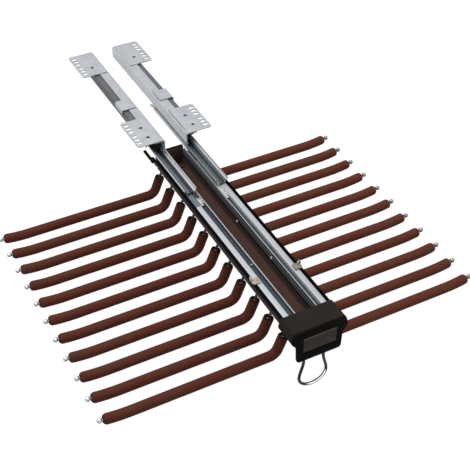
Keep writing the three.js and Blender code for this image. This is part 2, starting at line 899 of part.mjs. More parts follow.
// A path whose even steps fall on the given stations
class StationPath extends THREE.Curve {
  constructor(stations) {
    super();
    this.stations = stations;
  }

  span(t) {
    const place = t * (this.stations.length - 1);
    const index = Math.min(Math.floor(place), this.stations.length - 2);
    return [this.stations[index], this.stations[index + 1], place - index];
  }

  getPoint(t, target = new THREE.Vector3()) {
    const [from, to, share] = this.span(t);
    return target.set(from.x + (to.x - from.x) * share, 0, from.z + (to.z - from.z) * share);
  }

  getPointAt(t, target) {
    return this.getPoint(t, target);
  }

  getTangentAt(t, target = new THREE.Vector3()) {
    const [from, to, share] = this.span(t);
    const heading = from.heading + (to.heading - from.heading) * share;
    return target.set(Math.cos(heading), 0, -Math.sin(heading));
  }
}

function sweep(shape, stations) {
  const extrudePath = new StationPath(stations);
  return new THREE.ExtrudeGeometry(shape, { steps: stations.length - 1, extrudePath });
}

function rodGeometry() {
  const stations = rodStations();
  const ends = [stations[0], stations[stations.length - 1]];
  const balls = ends.map(({ x, z, heading }) => ball(ballRadius).rotateY(heading).translate(x, 0, z));
  return join(sweep(polygon(rodRadius, wireSides), stations), ...balls);
}

function sleeveGeometry(side) {
  const stations = sleeveStations().map(({ x, z, heading }) => station(
    side * x, z, side > 0 ? heading : Math.PI - heading));
  const ring = polygon(sleeveRadius, barSides);
  ring.holes.push(polygon(sleeveBore, wireSides));
  return sweep(ring, stations);
}

// Assembly

function piece(name, geometry, material, position = at(0, 0, 0)) {
  const mesh = new THREE.Mesh(geometry, material);
  mesh.name = name;
  mesh.position.copy(position);
  return mesh;
}

function fixedUnits() {
  const group = new THREE.Group();
  for (const [name, side] of Object.entries(sides)) {
    group.add(piece(`bracket_${name}`, bracketGeometry(side), zincPlated()));
    group.add(piece(`outer_rail_${name}`, outerRailGeometry(side), darkSteel()));
  }
  return group;
}

function travellingRails() {
  const group = new THREE.Group();
  for (const [name, side] of Object.entries(sides)) {
    group.add(piece(`outer_ball_cage_${name}`, outerCageGeometry(side), whitePlastic()));
    group.add(piece(`middle_rail_${name}`, middleRailGeometry(side), bareSteel()));
    group.add(piece(`inner_ball_cage_${name}`, innerCageGeometry(side), whitePlastic()));
  }
  return group;
}

function carrierGroup() {
  const group = new THREE.Group();
  group.add(piece('carrier_profile', carrierGeometry(), brownExtrusion()));
  group.add(piece('clamp_bar', clampBarGeometry(), blackPlastic()));
  group.add(piece('rear_end_cap', endCapGeometry(), blackPlastic()));
  for (const [name, side] of Object.entries(sides)) {
    group.add(piece(`inner_rail_${name}`, innerRailGeometry(side), bareSteel()));
    group.add(piece(`rail_rivet_${name}`, rivetGeometry(side), chrome(), at(0, rivetY, rivetZ)));
    const leverPlace = at(side * leverPinX, leverY, 0);
    group.add(piece(`release_lever_${name}`, leverGeometry(side), beigePlastic(), leverPlace));
  }
  screwIndexes.forEach((gap, index) => {
    const place = at(0, screwY(gap), clampBottom - seat);
    const screw = clampScrewGeometry().rotateX(Math.PI / 2);
    group.add(piece(`clamp_screw_${index + 1}`, screw, chrome(), place));
  });
  group.add(piece('damper_body', damperBodyGeometry(), blackPlastic()));
  const rodPlace = at(-damperX, damperFront, damperZ);
  group.add(piece('damper_rod', damperRodGeometry(), chrome(), rodPlace));
  return group;
}

function frontGroup() {
  const group = new THREE.Group();
  group.add(piece('front_cap', frontCapGeometry(), blackPlastic()));
  group.add(piece('label_insert', labelGeometry(), greyLabel()));
  group.add(piece('pull_loop', pullLoopGeometry(), darkWire(), at(0, loopY, 0)));
  return group;
}

function arms() {
  const group = new THREE.Group();
  for (let index = 0; index < armCount; index += 1) {
    const number = String(index + 1).padStart(2, '0');
    const arm = new THREE.Group();
    arm.position.set(0, armY(index), 0);
    arm.add(piece(`arm_rod_${number}`, rodGeometry(), chrome()));
    for (const [name, side] of Object.entries(sides)) {
      arm.add(piece(`sleeve_${name}_${number}`, sleeveGeometry(side), brownSleeve()));
    }
    group.add(arm);
  }
  return group;
}

const rack = new THREE.Group();
rack.add(fixedUnits(), travellingRails(), carrierGroup(), frontGroup(), arms());

export default rack;
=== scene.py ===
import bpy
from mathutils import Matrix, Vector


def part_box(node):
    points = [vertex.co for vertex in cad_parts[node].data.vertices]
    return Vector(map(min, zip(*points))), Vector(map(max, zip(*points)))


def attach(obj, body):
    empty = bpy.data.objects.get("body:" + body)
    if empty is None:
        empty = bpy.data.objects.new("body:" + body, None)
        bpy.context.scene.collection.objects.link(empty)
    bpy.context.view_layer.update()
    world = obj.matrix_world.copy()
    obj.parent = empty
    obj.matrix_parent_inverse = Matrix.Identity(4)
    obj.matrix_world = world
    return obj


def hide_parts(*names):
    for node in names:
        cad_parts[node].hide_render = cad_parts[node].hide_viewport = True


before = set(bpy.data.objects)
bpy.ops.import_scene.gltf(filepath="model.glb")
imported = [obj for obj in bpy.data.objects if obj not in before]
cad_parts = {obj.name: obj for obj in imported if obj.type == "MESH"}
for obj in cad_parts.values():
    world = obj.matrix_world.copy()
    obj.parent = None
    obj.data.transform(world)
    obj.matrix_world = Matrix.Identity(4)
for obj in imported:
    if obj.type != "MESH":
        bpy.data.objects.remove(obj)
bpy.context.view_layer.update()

from math import atan2, cos, pi, radians, sin, tan

import bmesh
import bpy
from mathutils import Matrix, Vector

# The two shelf brackets are zinc plated sheet steel. Each is one folding: an inner wall with a return
# lip, a long strip, and plates with screw slots at both ends that are pressed up above the strip. A
# tab in the middle clamps the dark slide below.

MM = 0.001
SIDES = (("left", -1), ("right", 1))


def rounded(points, radii, steps=4):
    """The points of a line, with its inner corners turned into arcs of these radii."""
    line = [Vector(p) for p in points]
    turned = [line[0]]
    for before, corner, after, radius in zip(line, line[1:], line[2:], radii):
        back, ahead = (before - corner).normalized(), (after - corner).normalized()
        angle = back.angle(ahead)
        reach = min(radius / tan(angle / 2), (before - corner).length / 2, (after - corner).length / 2)
        middle = corner + (back + ahead).normalized() * (reach / cos(angle / 2))
        start, end = corner + back * reach - middle, corner + ahead * reach - middle
        sweep = atan2(start.x * end.y - start.y * end.x, start.dot(end))
        for step in range(steps + 1):
            turn = sweep * step / steps
            turned.append(middle + Vector((
                start.x * cos(turn) - start.y * sin(turn), start.x * sin(turn) + start.y * cos(turn))))
    return turned + [line[-1]]


def folded(points, sheet, bend, side, steps=4):
    """The outline of a folded sheet from its middle line, for the left or the right side."""
    line = rounded([(side * x, z) for x, z in points], [bend] * len(points), steps)
    edges = ([], [])
    for index, point in enumerate(line):
        before = (point - line[index - 1]).normalized() if index else None
        after = (line[index + 1] - point).normalized() if index + 1 < len(line) else None
        heading = ((before or after) + (after or before)).normalized()
        reach = sheet / 2 / heading.dot(before or after)
        normal = Vector((-heading.y, heading.x)) * reach
        edges[0].append(point + normal)
        edges[1].append(point - normal)
    return edges[0] + edges[1][::-1]


def skinned(shell, rings, *caps):
    """Adds the faces between each ring of corners and the next, and a face for each end cap."""
    made = []
    for low, high in zip(rings, rings[1:]):
        sides = max(len(low), len(high))
        for i in range(sides):
            j = (i + 1) % sides
            corners = [low[i % len(low)], low[j % len(low)], high[j % len(high)], high[i % len(high)]]
            made.append(shell.faces.new(list(dict.fromkeys(corners))))
    made += [shell.faces.new(cap) for cap in caps]
    bmesh.ops.recalc_face_normals(shell, faces=made)


def bar(shell, outlines):
    """Adds a closed bar between two outlines with the same number of corners, in millimetres."""
    near, far = [[shell.verts.new([v * MM for v in corner]) for corner in outline] for outline in outlines]
    skinned(shell, [near, far], near, far)


def prism_y(shell, outline, front, rear):
    """Adds a closed bar along y with this outline of x and z."""
    bar(shell, [[(x, y, z) for x, z in outline] for y in (front, rear)])


def box(shell, x, y, z, side=1):
    """Adds a block between two values of x, of y and of z; side -1 puts it to the left."""
    (left, right), (low, high) = sorted(side * v for v in x), sorted(z)
    prism_y(shell, [(left, low), (right, low), (right, high), (left, high)], *sorted(y))


def placed(name, data):
    """A new object in the scene that holds this mesh, curve, lamp or camera."""
    thing = bpy.data.objects.new(name, data)
    bpy.context.scene.collection.objects.link(thing)
    return thing


def evaluated(thing):
    """The finished mesh of an object with its modifiers; the object itself is removed."""
    mesh = bpy.data.meshes.new_from_object(thing.evaluated_get(bpy.context.evaluated_depsgraph_get()))
    thing.modifiers.clear()
    bpy.data.objects.remove(thing)
    return mesh


def plate(shell, outline, holes, low, high, edge, place=Matrix.Identity(4), side=1):
    """Adds a flat plate with holes and softened edges: outline in x and y, thickness in z."""
    curve = bpy.data.curves.new("plate_outline", "CURVE")
    curve.dimensions, curve.fill_mode = "2D", "BOTH"
    curve.extrude, curve.bevel_depth = ((high - low) / 2 - edge) * MM, edge * MM
    curve.bevel_resolution, curve.offset = 2, -edge * MM
    for loop in [outline, *holes]:
        spline = curve.splines.new("POLY")
        spline.points.add(len(loop) - 1)
        for point, (x, y) in zip(spline.points, loop):
            point.co = (side * x * MM, y * MM, 0, 1)
        spline.use_cyclic_u = True
    mesh = evaluated(placed("plate_outline", curve))
    mesh.transform(place @ Matrix.Translation((0, 0, (low + high) / 2 * MM)))
    part = bmesh.new()
    part.from_mesh(mesh)
    bmesh.ops.remove_doubles(part, verts=part.verts, dist=1e-6)
    bmesh.ops.recalc_face_normals(part, faces=part.faces)
    part.to_mesh(mesh)
    part.free()
    shell.from_mesh(mesh)
    bpy.data.meshes.remove(mesh)


def arc(x, y, radius, start, end, steps=8):
    """Points of an arc; the angles are in degrees."""
    angles = [radians(start + (end - start) * i / steps) for i in range(steps + 1)]
    return [(x + radius * cos(angle), y + radius * sin(angle)) for angle in angles]


def finished(name, shell, material, body, slot, *nodes, bevel=0.0, smooth=35.0, segments=2):
    """Makes a piece from a shell, with its finish and body, and hides the nodes that it stands for. The
    slot is not used.
    """
    mesh = bpy.data.meshes.new(name)
    shell.to_mesh(mesh)
    shell.free()
    mesh.shade_smooth()
    mesh.set_sharp_from_angle(angle=radians(smooth))
    mesh.materials.append(material)
    piece = placed(name, mesh)
    if bevel:
        modifier = piece.modifiers.new("soft_edges", "BEVEL")
        modifier.width, modifier.segments = bevel * MM, segments
        modifier.limit_method, modifier.angle_limit = "ANGLE", radians(smooth)
        modifier.harden_normals = True
    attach(piece, body)
    if nodes:
        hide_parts(*nodes)


def rgb(code):
    """A colour for a shader from its six hexadecimal digits; other values stay as they are."""
    if not isinstance(code, str):
        return code
    parts = [int(code[i:i + 2], 16) / 255 for i in (0, 2, 4)]
    return (*[v / 12.92 if v <= 0.04045 else ((v + 0.055) / 1.055) ** 2.4 for v in parts], 1)


class Value:
    """A value in a node tree: expressions on it add Math nodes, and node() adds any other node."""

    def __init__(self, tree, socket=None):
        self.tree, self.socket = tree, socket

    def node(self, kind, inputs=None, out=0, **settings):
        """Adds a node with its settings and inputs and returns one of its outputs."""
        made = self.tree.nodes.new(kind)
        for key, value in settings.items():
            setattr(made, key, value)
        for key, value in (inputs or {}).items():
            if isinstance(value, Value):
                self.tree.links.new(value.socket, made.inputs[key])
            else:
                made.inputs[key].default_value = value
        return Value(self.tree, made.outputs[out])

    def other(self, out):
        """Another output of the node that this value comes from."""
        return Value(self.tree, self.socket.node.outputs[out])

    def maths(self, operation, first, second):
        return self.node("ShaderNodeMath", {0: first, 1: second}, operation=operation)

    def __add__(self, other):
        return self.maths("ADD", self, other)

    def __radd__(self, other):
        return self.maths("ADD", other, self)

    def __sub__(self, other):
        return self.maths("SUBTRACT", self, other)

    def __rsub__(self, other):
        return self.maths("SUBTRACT", other, self)

    def __mul__(self, other):
        return self.maths("MULTIPLY", self, other)

    def copies(self, geometry, **inputs):
        """A copy of a geometry on each point of this one."""
        return self.node("GeometryNodeInstanceOnPoints", {"Points": self, "Instance": geometry, **inputs})

    def most(self, other):
        """The larger of two values."""
        return self.maths("MAXIMUM", self, other)

    def size(self):
        """The value without its sign."""
        return self.maths("ABSOLUTE", self, 0)

    def between(self, low, high):
        """0 at low, 1 at high, and an even rise between them."""
        return self.node("ShaderNodeMapRange", {"Value": self, "From Min": low, "From Max": high})

    def past(self, place, soft=0.2):
        """0 before a place on its axis and 1 past it; both lengths are in millimetres."""
        return self.between((place - soft / 2) * MM, (place + soft / 2) * MM)

    def within(self, low, high, soft=0.2):
        """1 from one place on its axis to another, and 0 elsewhere."""
        return self.past(low, soft) * (1 - self.past(high, soft))

    def blend(self, first, second):
        """The first colour where this value is 0, the second where it is 1."""
        return self.node("ShaderNodeMix", {0: self, 6: rgb(first), 7: rgb(second)}, out=2, data_type="RGBA")


class Finish:
    """A material under construction: where on the piece a point lies, and noises that follow it."""

    def __init__(self, name):
        self.material = bpy.data.materials.new(name)
        self.material.use_nodes = True
        self.tree = self.material.node_tree
        self.tree.nodes.clear()
        self.start = Value(self.tree)
        self.place = self.start.node("ShaderNodeTexCoord", out=3)

    def axes(self):
        """The place of a point along x, y and z, in metres."""
        across = self.start.node("ShaderNodeSeparateXYZ", {0: self.place})
        return across, across.other(1), across.other(2)

    def edges(self, low, high):
        """1 on sharp outer edges, where a coat rubs thin."""
        return self.start.node("ShaderNodeNewGeometry", out=7).between(low, high)

    def noise(self, scale, detail=2.0, stretch=(1, 1, 1), rough=0.5):
        """Noise with features of about 1/scale metres, longer where stretch is small."""
        place = self.start.node("ShaderNodeMapping", {"Vector": self.place, "Scale": stretch})
        return self.start.node("ShaderNodeTexNoise", {
            "Vector": place, "Scale": scale, "Detail": detail, "Roughness": rough})

    def bump(self, height, depth, under=None):
        """A normal from a height; depth is in millimetres."""
        inputs = {"Height": height, "Strength": 1.0, "Distance": depth * MM}
        if under:
            inputs["Normal"] = under
        return self.start.node("ShaderNodeBump", inputs)

    def done(self, colour, roughness, metallic=0.0, normal=None, gloss=0.5, **uniform):
        """The material, from values over the surface, and uniform ones by input name."""
        if normal:
            uniform["Normal"] = normal
        return self.ended(self.start.node("ShaderNodeBsdfPrincipled", {
            "Base Color": colour, "Roughness": roughness, "Metallic": metallic,
            "Specular IOR Level": gloss, **uniform}))

    def ended(self, shader):
        """The material, with this shader on its surface."""
        output = self.tree.nodes.new("ShaderNodeOutputMaterial")
        self.tree.links.new(shader.socket, output.inputs["Surface"])
        return self.material


SHEET, STRIP_Z = 1.5, -1.75
BRACKET_LENGTH, PLATE_LENGTH, PLATE_CORNER = 286, 69.5, 4.5
BRACKET_FACE, PLATE_INNER, PLATE_EDGE, STRIP_EDGE = 17.2, 20.4, 60.0, 32.8
SLOT_PITCH, SLOT_SPLIT, SLOT_RADIUS, SLOT_INNER, SLOT_OUTER = 8.9, 7, 2.85, 52.0, 54.6
STUD_X, STUD_Y, STUD_HOLE = 36.55, (18.07, 45.175, 239.435), 3.0
TAB_FRONT, TAB_REAR, TAB_EDGE = 100, 128, 42.4
# where the sheet steps down and lies in shade: from x to x, and from y to y
STEPS = ((19.6, 42.6, 214.7, 216.5), (19.6, 42.6, 98.7, 100.0), (19.9, 20.5, 100.1, 128.1),
         (19.9, 20.5, 10.1, 69.6))


def zinc_plate():
    """Zinc plated sheet: faint crystals, rolling marks and dull patches, with painted light on the outer
    face of the wall and painted shade along the steps.
    """
    zinc = Finish("zinc_plate")
    rolling = zinc.noise(900, 3, (1, 0.05, 1))
    cloud = zinc.noise(60, 3)
    crystals = zinc.start.node("ShaderNodeTexVoronoi", {"Vector": zinc.place, "Scale": 650.0}, out=1)
    grain = zinc.start.node("ShaderNodeSeparateColor", {0: crystals})
    tone = cloud.between(0.3, 0.7) * 0.55 + rolling.between(0.3, 0.7) * 0.25 + grain * 0.2
    across, along, up = zinc.axes()
    # painted light: the outer face of the wall is coloured lighter than the top
    wall = (1 - across.size().past(17.5)) * (1 - up.past(-1.4, 0.4))
    colour = wall.blend(tone.blend("afb3b8", "c7cacf"), tone.blend("d2d5d9", "e4e7eb"))
    # painted shade along each step, where the sheet steps down
    for inner, outer, front, rear in STEPS:
        step = across.size().within(inner, outer) * along.within(front, rear)
        colour = (step * 0.8).blend(colour, "3c3e42")
    roughness = 0.44 + cloud * 0.12 + grain * 0.06
    return zinc.done(colour, roughness, 0.4, zinc.bump(rolling, 0.012, zinc.bump(grain, 0.006)))


def pressed_plate(shell, side, front):
    """Adds a plate with its slots and holes, and the ramps down to the strip."""
    rear, outer = front + PLATE_LENGTH, PLATE_EDGE - PLATE_CORNER
    outline = [(PLATE_INNER, front), *arc(outer, front + PLATE_CORNER, PLATE_CORNER, -90, 0),
               *arc(outer, rear - PLATE_CORNER, PLATE_CORNER, 0, 90), (PLATE_INNER, rear)]
    middle = (front + rear) / 2
    slots = [middle + half * (step * SLOT_PITCH + SLOT_SPLIT) for half in (-1, 1) for step in (0, 1, 2)]
    holes = [arc(SLOT_OUTER, y, SLOT_RADIUS, -90, 90) + arc(SLOT_INNER, y, SLOT_RADIUS, 90, 270)
             for y in slots]
    for y in STUD_Y:
        if front < y < rear:
            holes.append(arc(STUD_X, y, STUD_HOLE, 0, 360 * 15 / 16, 15))
            box(shell, (side * STUD_X - 2.7, side * STUD_X - 0.7), (y + 0.5, y + 2.6), (-1.3, -0.1))
    plate(shell, outline, holes, -SHEET, 0, 0.3, side=side)
    for y, ahead in ((rear, 2.4), (front, -2.4)):
        if 0 < y < BRACKET_LENGTH:
            ramp = [(y, -0.02), (y + ahead, -1.02), (y + ahead, -1.3), (y, -1.3)]
            bar(shell, [[(side * x, *place) for place in ramp] for x in (PLATE_INNER, STRIP_EDGE)])


ZINC = zinc_plate()

for name, side in SIDES:
    shell = bmesh.new()
    wall, strip = BRACKET_FACE + SHEET / 2, STRIP_EDGE - SHEET / 2
    folding = [(20.2, -19.1), (wall, -19.1), (wall, STRIP_Z), (strip, STRIP_Z)]
    prism_y(shell, folded(folding, SHEET, 0.85, side), 0, BRACKET_LENGTH)
    for front in (0, BRACKET_LENGTH - PLATE_LENGTH):
        pressed_plate(shell, side, front)
    tab = [(PLATE_INNER, -SHEET / 2), (TAB_EDGE, -SHEET / 2), (TAB_EDGE, -8)]
    prism_y(shell, folded(tab, SHEET, 1.4, side), TAB_FRONT, TAB_REAR)
    finished(f"shelf_bracket_{name}", shell, ZINC, "shelf_units", "zinc_plate", f"bracket_{name}",
             bevel=0.12)

# The outer rail of each slide is dark phosphated steel, folded from 1.3 mm sheet. It hangs under the
# strip, held by pressed studs in the plate's round holes, and its guide box reaches into the middle rail.


def dark_steel():
    """Phosphated steel: dark, fine grained, lighter where the folds are rubbed, with painted light on the
    top of the web.
    """
    dark = Finish("dark_steel")
    grain = dark.noise(1800, 2)
    cloud = dark.noise(45, 3)
    rubbed = dark.edges(0.52, 0.6)
    tone = cloud.between(0.3, 0.7) * 0.6 + grain.between(0.35, 0.65) * 0.4
    across, _, up = dark.axes()
    # painted light: the top of the web beside the strip is coloured lighter than the rest
    lit_top_web = (1 - across.size().past(40.8, 0.6)) * up.past(-4.15, 0.7) * (1 - up.past(-2.5))
    colour = lit_top_web.blend(tone.blend("1f1f22", "2e2e32"), tone.blend("55555a", "6c6c71"))
    colour = (rubbed * 0.6).blend(colour, "77787d")
    return dark.done(colour, 0.4 + grain * 0.2, 0.45, dark.bump(grain, 0.03))


DARK = dark_steel()
OUTER_FRONT = 15

for name, side in SIDES:
    shell = bmesh.new()
    line = [(40.7, -15.8), (40.7, -3.45), (21.55, -3.45), (21.55, -23.55), (25.05, -23.55),
            (25.05, -11.2)]
    prism_y(shell, folded(line, 1.3, 1.25, side), OUTER_FRONT, BRACKET_LENGTH)
    finished(f"outer_slide_{name}", shell, DARK, "shelf_units", "dark_rail", f"outer_rail_{name}",
             bevel=0.12)


def growing_tree(name, **sizes):
    """A new tree with an input for each size: its start, and the inputs as values."""
    kinds = {float: "NodeSocketFloat", int: "NodeSocketInt", tuple: "NodeSocketVector"}
    tree = bpy.data.node_groups.new(name, "GeometryNodeTree")
    for way in ("INPUT", "OUTPUT"):
        tree.interface.new_socket("Geometry", in_out=way, socket_type="NodeSocketGeometry")
    tree.interface.new_socket("Finish", in_out="INPUT", socket_type="NodeSocketMaterial")
    for label, size in sizes.items():
        socket = tree.interface.new_socket(label, in_out="INPUT", socket_type=kinds[type(size)])
        socket.default_value = size
    entry = tree.nodes.new("NodeGroupInput")
    labels = ("Geometry", "Finish", *sizes)
    return Value(tree), {label: Value(tree, entry.outputs[label]) for label in labels}


def joined(start, *parts):
    """Two or more geometries as one."""
    whole = start.node("GeometryNodeJoinGeometry")
    for part in parts:
        start.tree.links.new(part.socket, whole.socket.node.inputs[0])
    return whole


def grown(start, geometry, values, base, finish):
    """Ends a tree with real geometry and its finish, and runs it on a base mesh."""
    tree = start.tree
    real = start.node("GeometryNodeRealizeInstances", {0: geometry})
    dressed = start.node("GeometryNodeSetMaterial", {"Geometry": real, "Material": values["Finish"]})
    tree.links.new(dressed.socket, tree.nodes.new("NodeGroupOutput").inputs["Geometry"])
    holder = placed("growing", base)
    modifier = holder.modifiers.new("grow", "NODES")
    modifier.node_group = tree
    modifier[tree.interface.items_tree["Finish"].identifier] = finish
    mesh = evaluated(holder)
    shell = bmesh.new()
    shell.from_mesh(mesh)
    bmesh.ops.remove_doubles(shell, verts=shell.verts, dist=1e-7)
    bpy.data.meshes.remove(mesh)
    return shell


def points_mesh(points, edges=()):
    """A mesh of bare points, and of the edges between them, in millimetres."""
    mesh = bpy.data.meshes.new("points")
    mesh.from_pydata([tuple(v * MM for v in point) for point in points], list(edges), [])
    return mesh


start, values = growing_tree("stud_row", Radius=2.9 * MM, Height=1.4 * MM)
disc = start.node("GeometryNodeMeshCylinder", {
    "Vertices": 20, "Radius": values["Radius"], "Depth": values["Height"]})
dimple = start.node("GeometryNodeMeshCylinder", {
    "Vertices": 12, "Radius": values["Radius"] * 0.4, "Depth": values["Height"] * 1.15})
row = values["Geometry"].copies(joined(start, disc, dimple))
places = points_mesh([(side * STUD_X, y, -2.0) for _, side in SIDES for y in STUD_Y])
shell = grown(start, row, values, places, DARK)
finished("slide_studs", shell, DARK, "shelf_units", "dark_rail", bevel=0.15)

# A moulded block of black plastic is pressed into the front end of each outer rail. It stops the middle
# rail.


def black_plastic():
    """Moulded black plastic: a fine eroded grain with lighter rubbed edges, and painted shade on the front
    face of the cap.
    """
    black = Finish("black_plastic")
    grain = black.noise(2600, 2)
    cloud = black.noise(35, 2)
    worn = black.edges(0.52, 0.62)
    tone = cloud.between(0.3, 0.7) * 0.7 + grain * 0.3
    _, along, _ = black.axes()
    # painted shade: the front face of the cap is coloured darker than its top
    shaded_front_face = 1 - along.past(-409.5, 2)
    colour = shaded_front_face.blend(tone.blend("2a2623", "34302c"), tone.blend("0a0908", "100f0d"))
    colour = (worn * 0.7).blend(colour, "322e2b")
    return black.done(colour, 0.5 + grain * 0.16 - worn * 0.06, 0.0, black.bump(grain, 0.02), 0.02)


BLACK = black_plastic()

for name, side in SIDES:
    shell = bmesh.new()
    box(shell, (20.6, 27.4), (OUTER_FRONT - 5, OUTER_FRONT), (-2.9, -18.4), side)
    box(shell, (27, 35.4), (OUTER_FRONT - 5, OUTER_FRONT + 9), (-4.4, -12.5), side)
    box(shell, (22.4, 24.2), (OUTER_FRONT - 3, OUTER_FRONT + 6), (-18, -22.4), side)
    finished(f"rail_stop_{name}", shell, BLACK, "shelf_units", "black_plastic", bevel=0.5)

# Each slide has two cages of white plastic: a thin folded strip that keeps the steel balls apart. The
# inner cage ends in a soft bumper tongue that shows in front of the middle rail.


def white_plastic():
    """Natural nylon: off white, slightly waxy, a little darkened by grease, with painted shade where the
    cages run under the middle rails.
    """
    white = Finish("white_plastic")
    cloud = white.noise(120, 2)
    grease = white.noise(40, 3)
    across, along, _ = white.axes()
    colour = (cloud * 0.5 + grease.between(0.45, 0.75) * 0.5).blend("f0efec", "d3d1cb")
    # painted shade: the cages under the middle rails are dark grey-blue on the left and grey on the right
    shaded_left_cages = (1 - across.past(-0.5, 1)) * along.past(-112.5, 2)
    colour = shaded_left_cages.blend(colour, "4d565b")
    shaded_right_cages = across.past(0.5, 1) * along.past(-99, 2)
    colour = shaded_right_cages.blend(colour, "8d9296")
    return white.done(colour, 0.35 + cloud * 0.15, 0.0, white.bump(cloud, 0.02),
                      **{"Subsurface Weight": 0.08})


WHITE = white_plastic()


def ball_rows(cage, name, places, radius):
    """Makes a piece with a ball at each place, which rides with its cage."""
    start, values = growing_tree("ball_rows", Radius=radius * MM)
    ball = start.node("GeometryNodeMeshUVSphere", {"Segments": 16, "Rings": 10, "Radius": values["Radius"]})
    shell = grown(start, values["Geometry"].copies(ball), values, points_mesh(places), WHITE)
    finished(f"{cage}_balls_{name}", shell, WHITE, f"{cage}_cage_{name}", "cage_plastic", smooth=180)


CAGE_LENGTH, MIDDLE_FRONT, MIDDLE_REAR = 96, -101, 125
OUTER_ROWS, OUTER_BALL, OUTER_BALL_Z = (19.0, 27.6), 1.6, -21.9
INNER_ROWS, INNER_BALL, INNER_BALL_Z = (17.4, 21.7), 1.1, -30.6
INNER_CAGE_FRONT, BLOCK_PITCH, BLOCK_LENGTH = MIDDLE_FRONT - 27, 4.6, 2.6

for name, side in SIDES:
    shell = bmesh.new()
    folding = [(19.0, -20.3), (19.0, -23.4), (20.5, -24.9), (27.6, -24.9), (27.6, -20.3)]
    prism_y(shell, folded(folding, 0.8, 0.5, side), OUTER_FRONT + 0.6, OUTER_FRONT + CAGE_LENGTH)
    box(shell, (18.7, 19.3), (OUTER_FRONT + 0.8, OUTER_FRONT + 5), (-19.4, -21), side)
    finished(f"outer_cage_{name}", shell, WHITE, f"outer_cage_{name}", "cage_plastic",
             f"outer_ball_cage_{name}", bevel=0.1)
    places = [(side * x, OUTER_FRONT + y, OUTER_BALL_Z) for x in OUTER_ROWS for y in (4.5, 16, 48, 80, 92)]
    ball_rows("outer", name, places, OUTER_BALL)

    shell = bmesh.new()
    folding = [(17.4, -29.3), (17.4, -32.4), (21.7, -32.4), (21.7, -29.3)]
    prism_y(shell, folded(folding, 0.8, 0.4, side), INNER_CAGE_FRONT + 2, INNER_CAGE_FRONT + CAGE_LENGTH)
    for index in range(5):
        y = INNER_CAGE_FRONT + 3.4 + index * BLOCK_PITCH
        for near, far in ((16.9, 18.5), (20.6, 22.2)):
            box(shell, (near, far), (y, y + BLOCK_LENGTH), (-29.1, -31.4 - 0.5 * (index % 2)), side)
    box(shell, (17.1, 22.0), (INNER_CAGE_FRONT + 0.2, INNER_CAGE_FRONT + 2.4), (-32.0, -32.8), side)
    finished(f"inner_cage_{name}", shell, WHITE, f"inner_cage_{name}", "cage_plastic",
             f"inner_ball_cage_{name}", bevel=0.25)
    places = [(side * x, INNER_CAGE_FRONT + y, INNER_BALL_Z)
              for x in INNER_ROWS for y in (30, 38, 54, 70, 86, 93)]
    ball_rows("inner", name, places, INNER_BALL)

# The middle rail of each slide is drawn from bright steel: a channel round the guide box, a flange
# outboard, and a runner welded below it that stands in the race of the inner rail.


def drawn_steel(name, light, dark, light_and_shade_zones=(), dull=None):
    """Drawn bright steel: long fine drawing lines, a film of grease, and painted light and shade for each
    zone.

    A zone is given by two x, two z, its first and last colour, and by two y where it ends short of the
    rail. Between the two x of dull, old grease hides the gloss."""
    steel = Finish(name)
    across, along, up = steel.axes()
    lines = steel.noise(2400, 3, (1, 0.012, 1), 0.6)
    film = steel.noise(55, 3, (1, 0.35, 1))
    tone = lines.between(0.3, 0.7) * 0.45 + film.between(0.3, 0.75) * 0.55
    colour = tone.blend(light, dark)
    # each zone paints the light and shade that fall on its part of the rail
    for left, right, low, high, first, last, *reach in light_and_shade_zones:
        inside = across.within(left, right) * up.within(low, high)
        if reach:
            inside = inside * along.within(*reach, 0.5)
        shade = across.between(left * MM, right * MM).blend(first, last)
        colour = inside.blend(colour, (tone * 0.35).blend(shade, "3a444b"))
    gloss = 0.5
    if dull:
        gloss = gloss - across.within(*dull, 0.1) * (1 - up.past(-29.4, 0.4)) * 0.3
    return steel.done(colour, 0.42 + film * 0.12 + lines * 0.06, gloss, steel.bump(lines, 0.006))


# painted light and shade on the middle rails: grey-blue and grey flange tops, each web lighter on its left
# half and dark on its right, and light rims and walls on the right
MIDDLE_STEEL = {
    "left": drawn_steel("middle_rail_left", "e2e3e6", "c3c6ca", [
        (-34.5, -29.3, -19.4, -18.8, "66727a", "566167"), (-29.5, -25.6, -28, -25.2, "5d686f", "4a555b"),
        (-25.6, -19.7, -28, -25.2, "1d262c", "262f35")]),
    "right": drawn_steel("middle_rail_right", "e2e3e6", "c3c6ca", [
        (30.9, 35.0, -19.4, -18.8, "a2a4a7", "94979a"), (19.4, 24.4, -28, -25.2, "616c72", "5a656b"),
        (24.4, 29.4, -28, -25.2, "2c373d", "2f383e"), (16.4, 17.3, -22.6, -19.7, "7d868c", "6b757c"),
        (15.0, 16.3, -23.6, -19.7, "c2c4c7", "b4b6b9"), (29.4, 29.8, -25.1, -19.4, "b6bbbe", "b6bbbe")])}

for name, side in SIDES:
    shell = bmesh.new()
    line = [(16.5, -20), (16.5, -22.85), (19.85, -26.2), (30.1, -26.2), (30.1, -19.6), (34.3, -19.6),
            (34.3, -22)]
    prism_y(shell, folded(line, 1.2, 1.1, side), MIDDLE_FRONT, MIDDLE_REAR)
    prism_y(shell, folded([(19.55, -31.7), (19.55, -26.0)], 1.5, 1, side), MIDDLE_FRONT, MIDDLE_REAR)
    finished(f"middle_slide_{name}", shell, MIDDLE_STEEL[name], f"middle_{name}", "rail_steel",
             f"middle_rail_{name}", bevel=0.12)
    shell = bmesh.new()
    hook = [(14.6, -19.0), (14.0, -20.9), (14.9, -22.8), (17.2, -24.2)]
    prism_y(shell, folded(hook, 0.8, 1.1, side, 8), MIDDLE_REAR - 1.6, MIDDLE_REAR)
    finished(f"rear_hook_{name}", shell, DARK, f"middle_{name}", "dark_rail", bevel=0.1)

# The inner rail of each slide is riveted into the carrier's side channel. It is folded from 1.2 mm
# bright steel: a thin inner rim, a deep race for the balls, a wide flat strip and a foot.

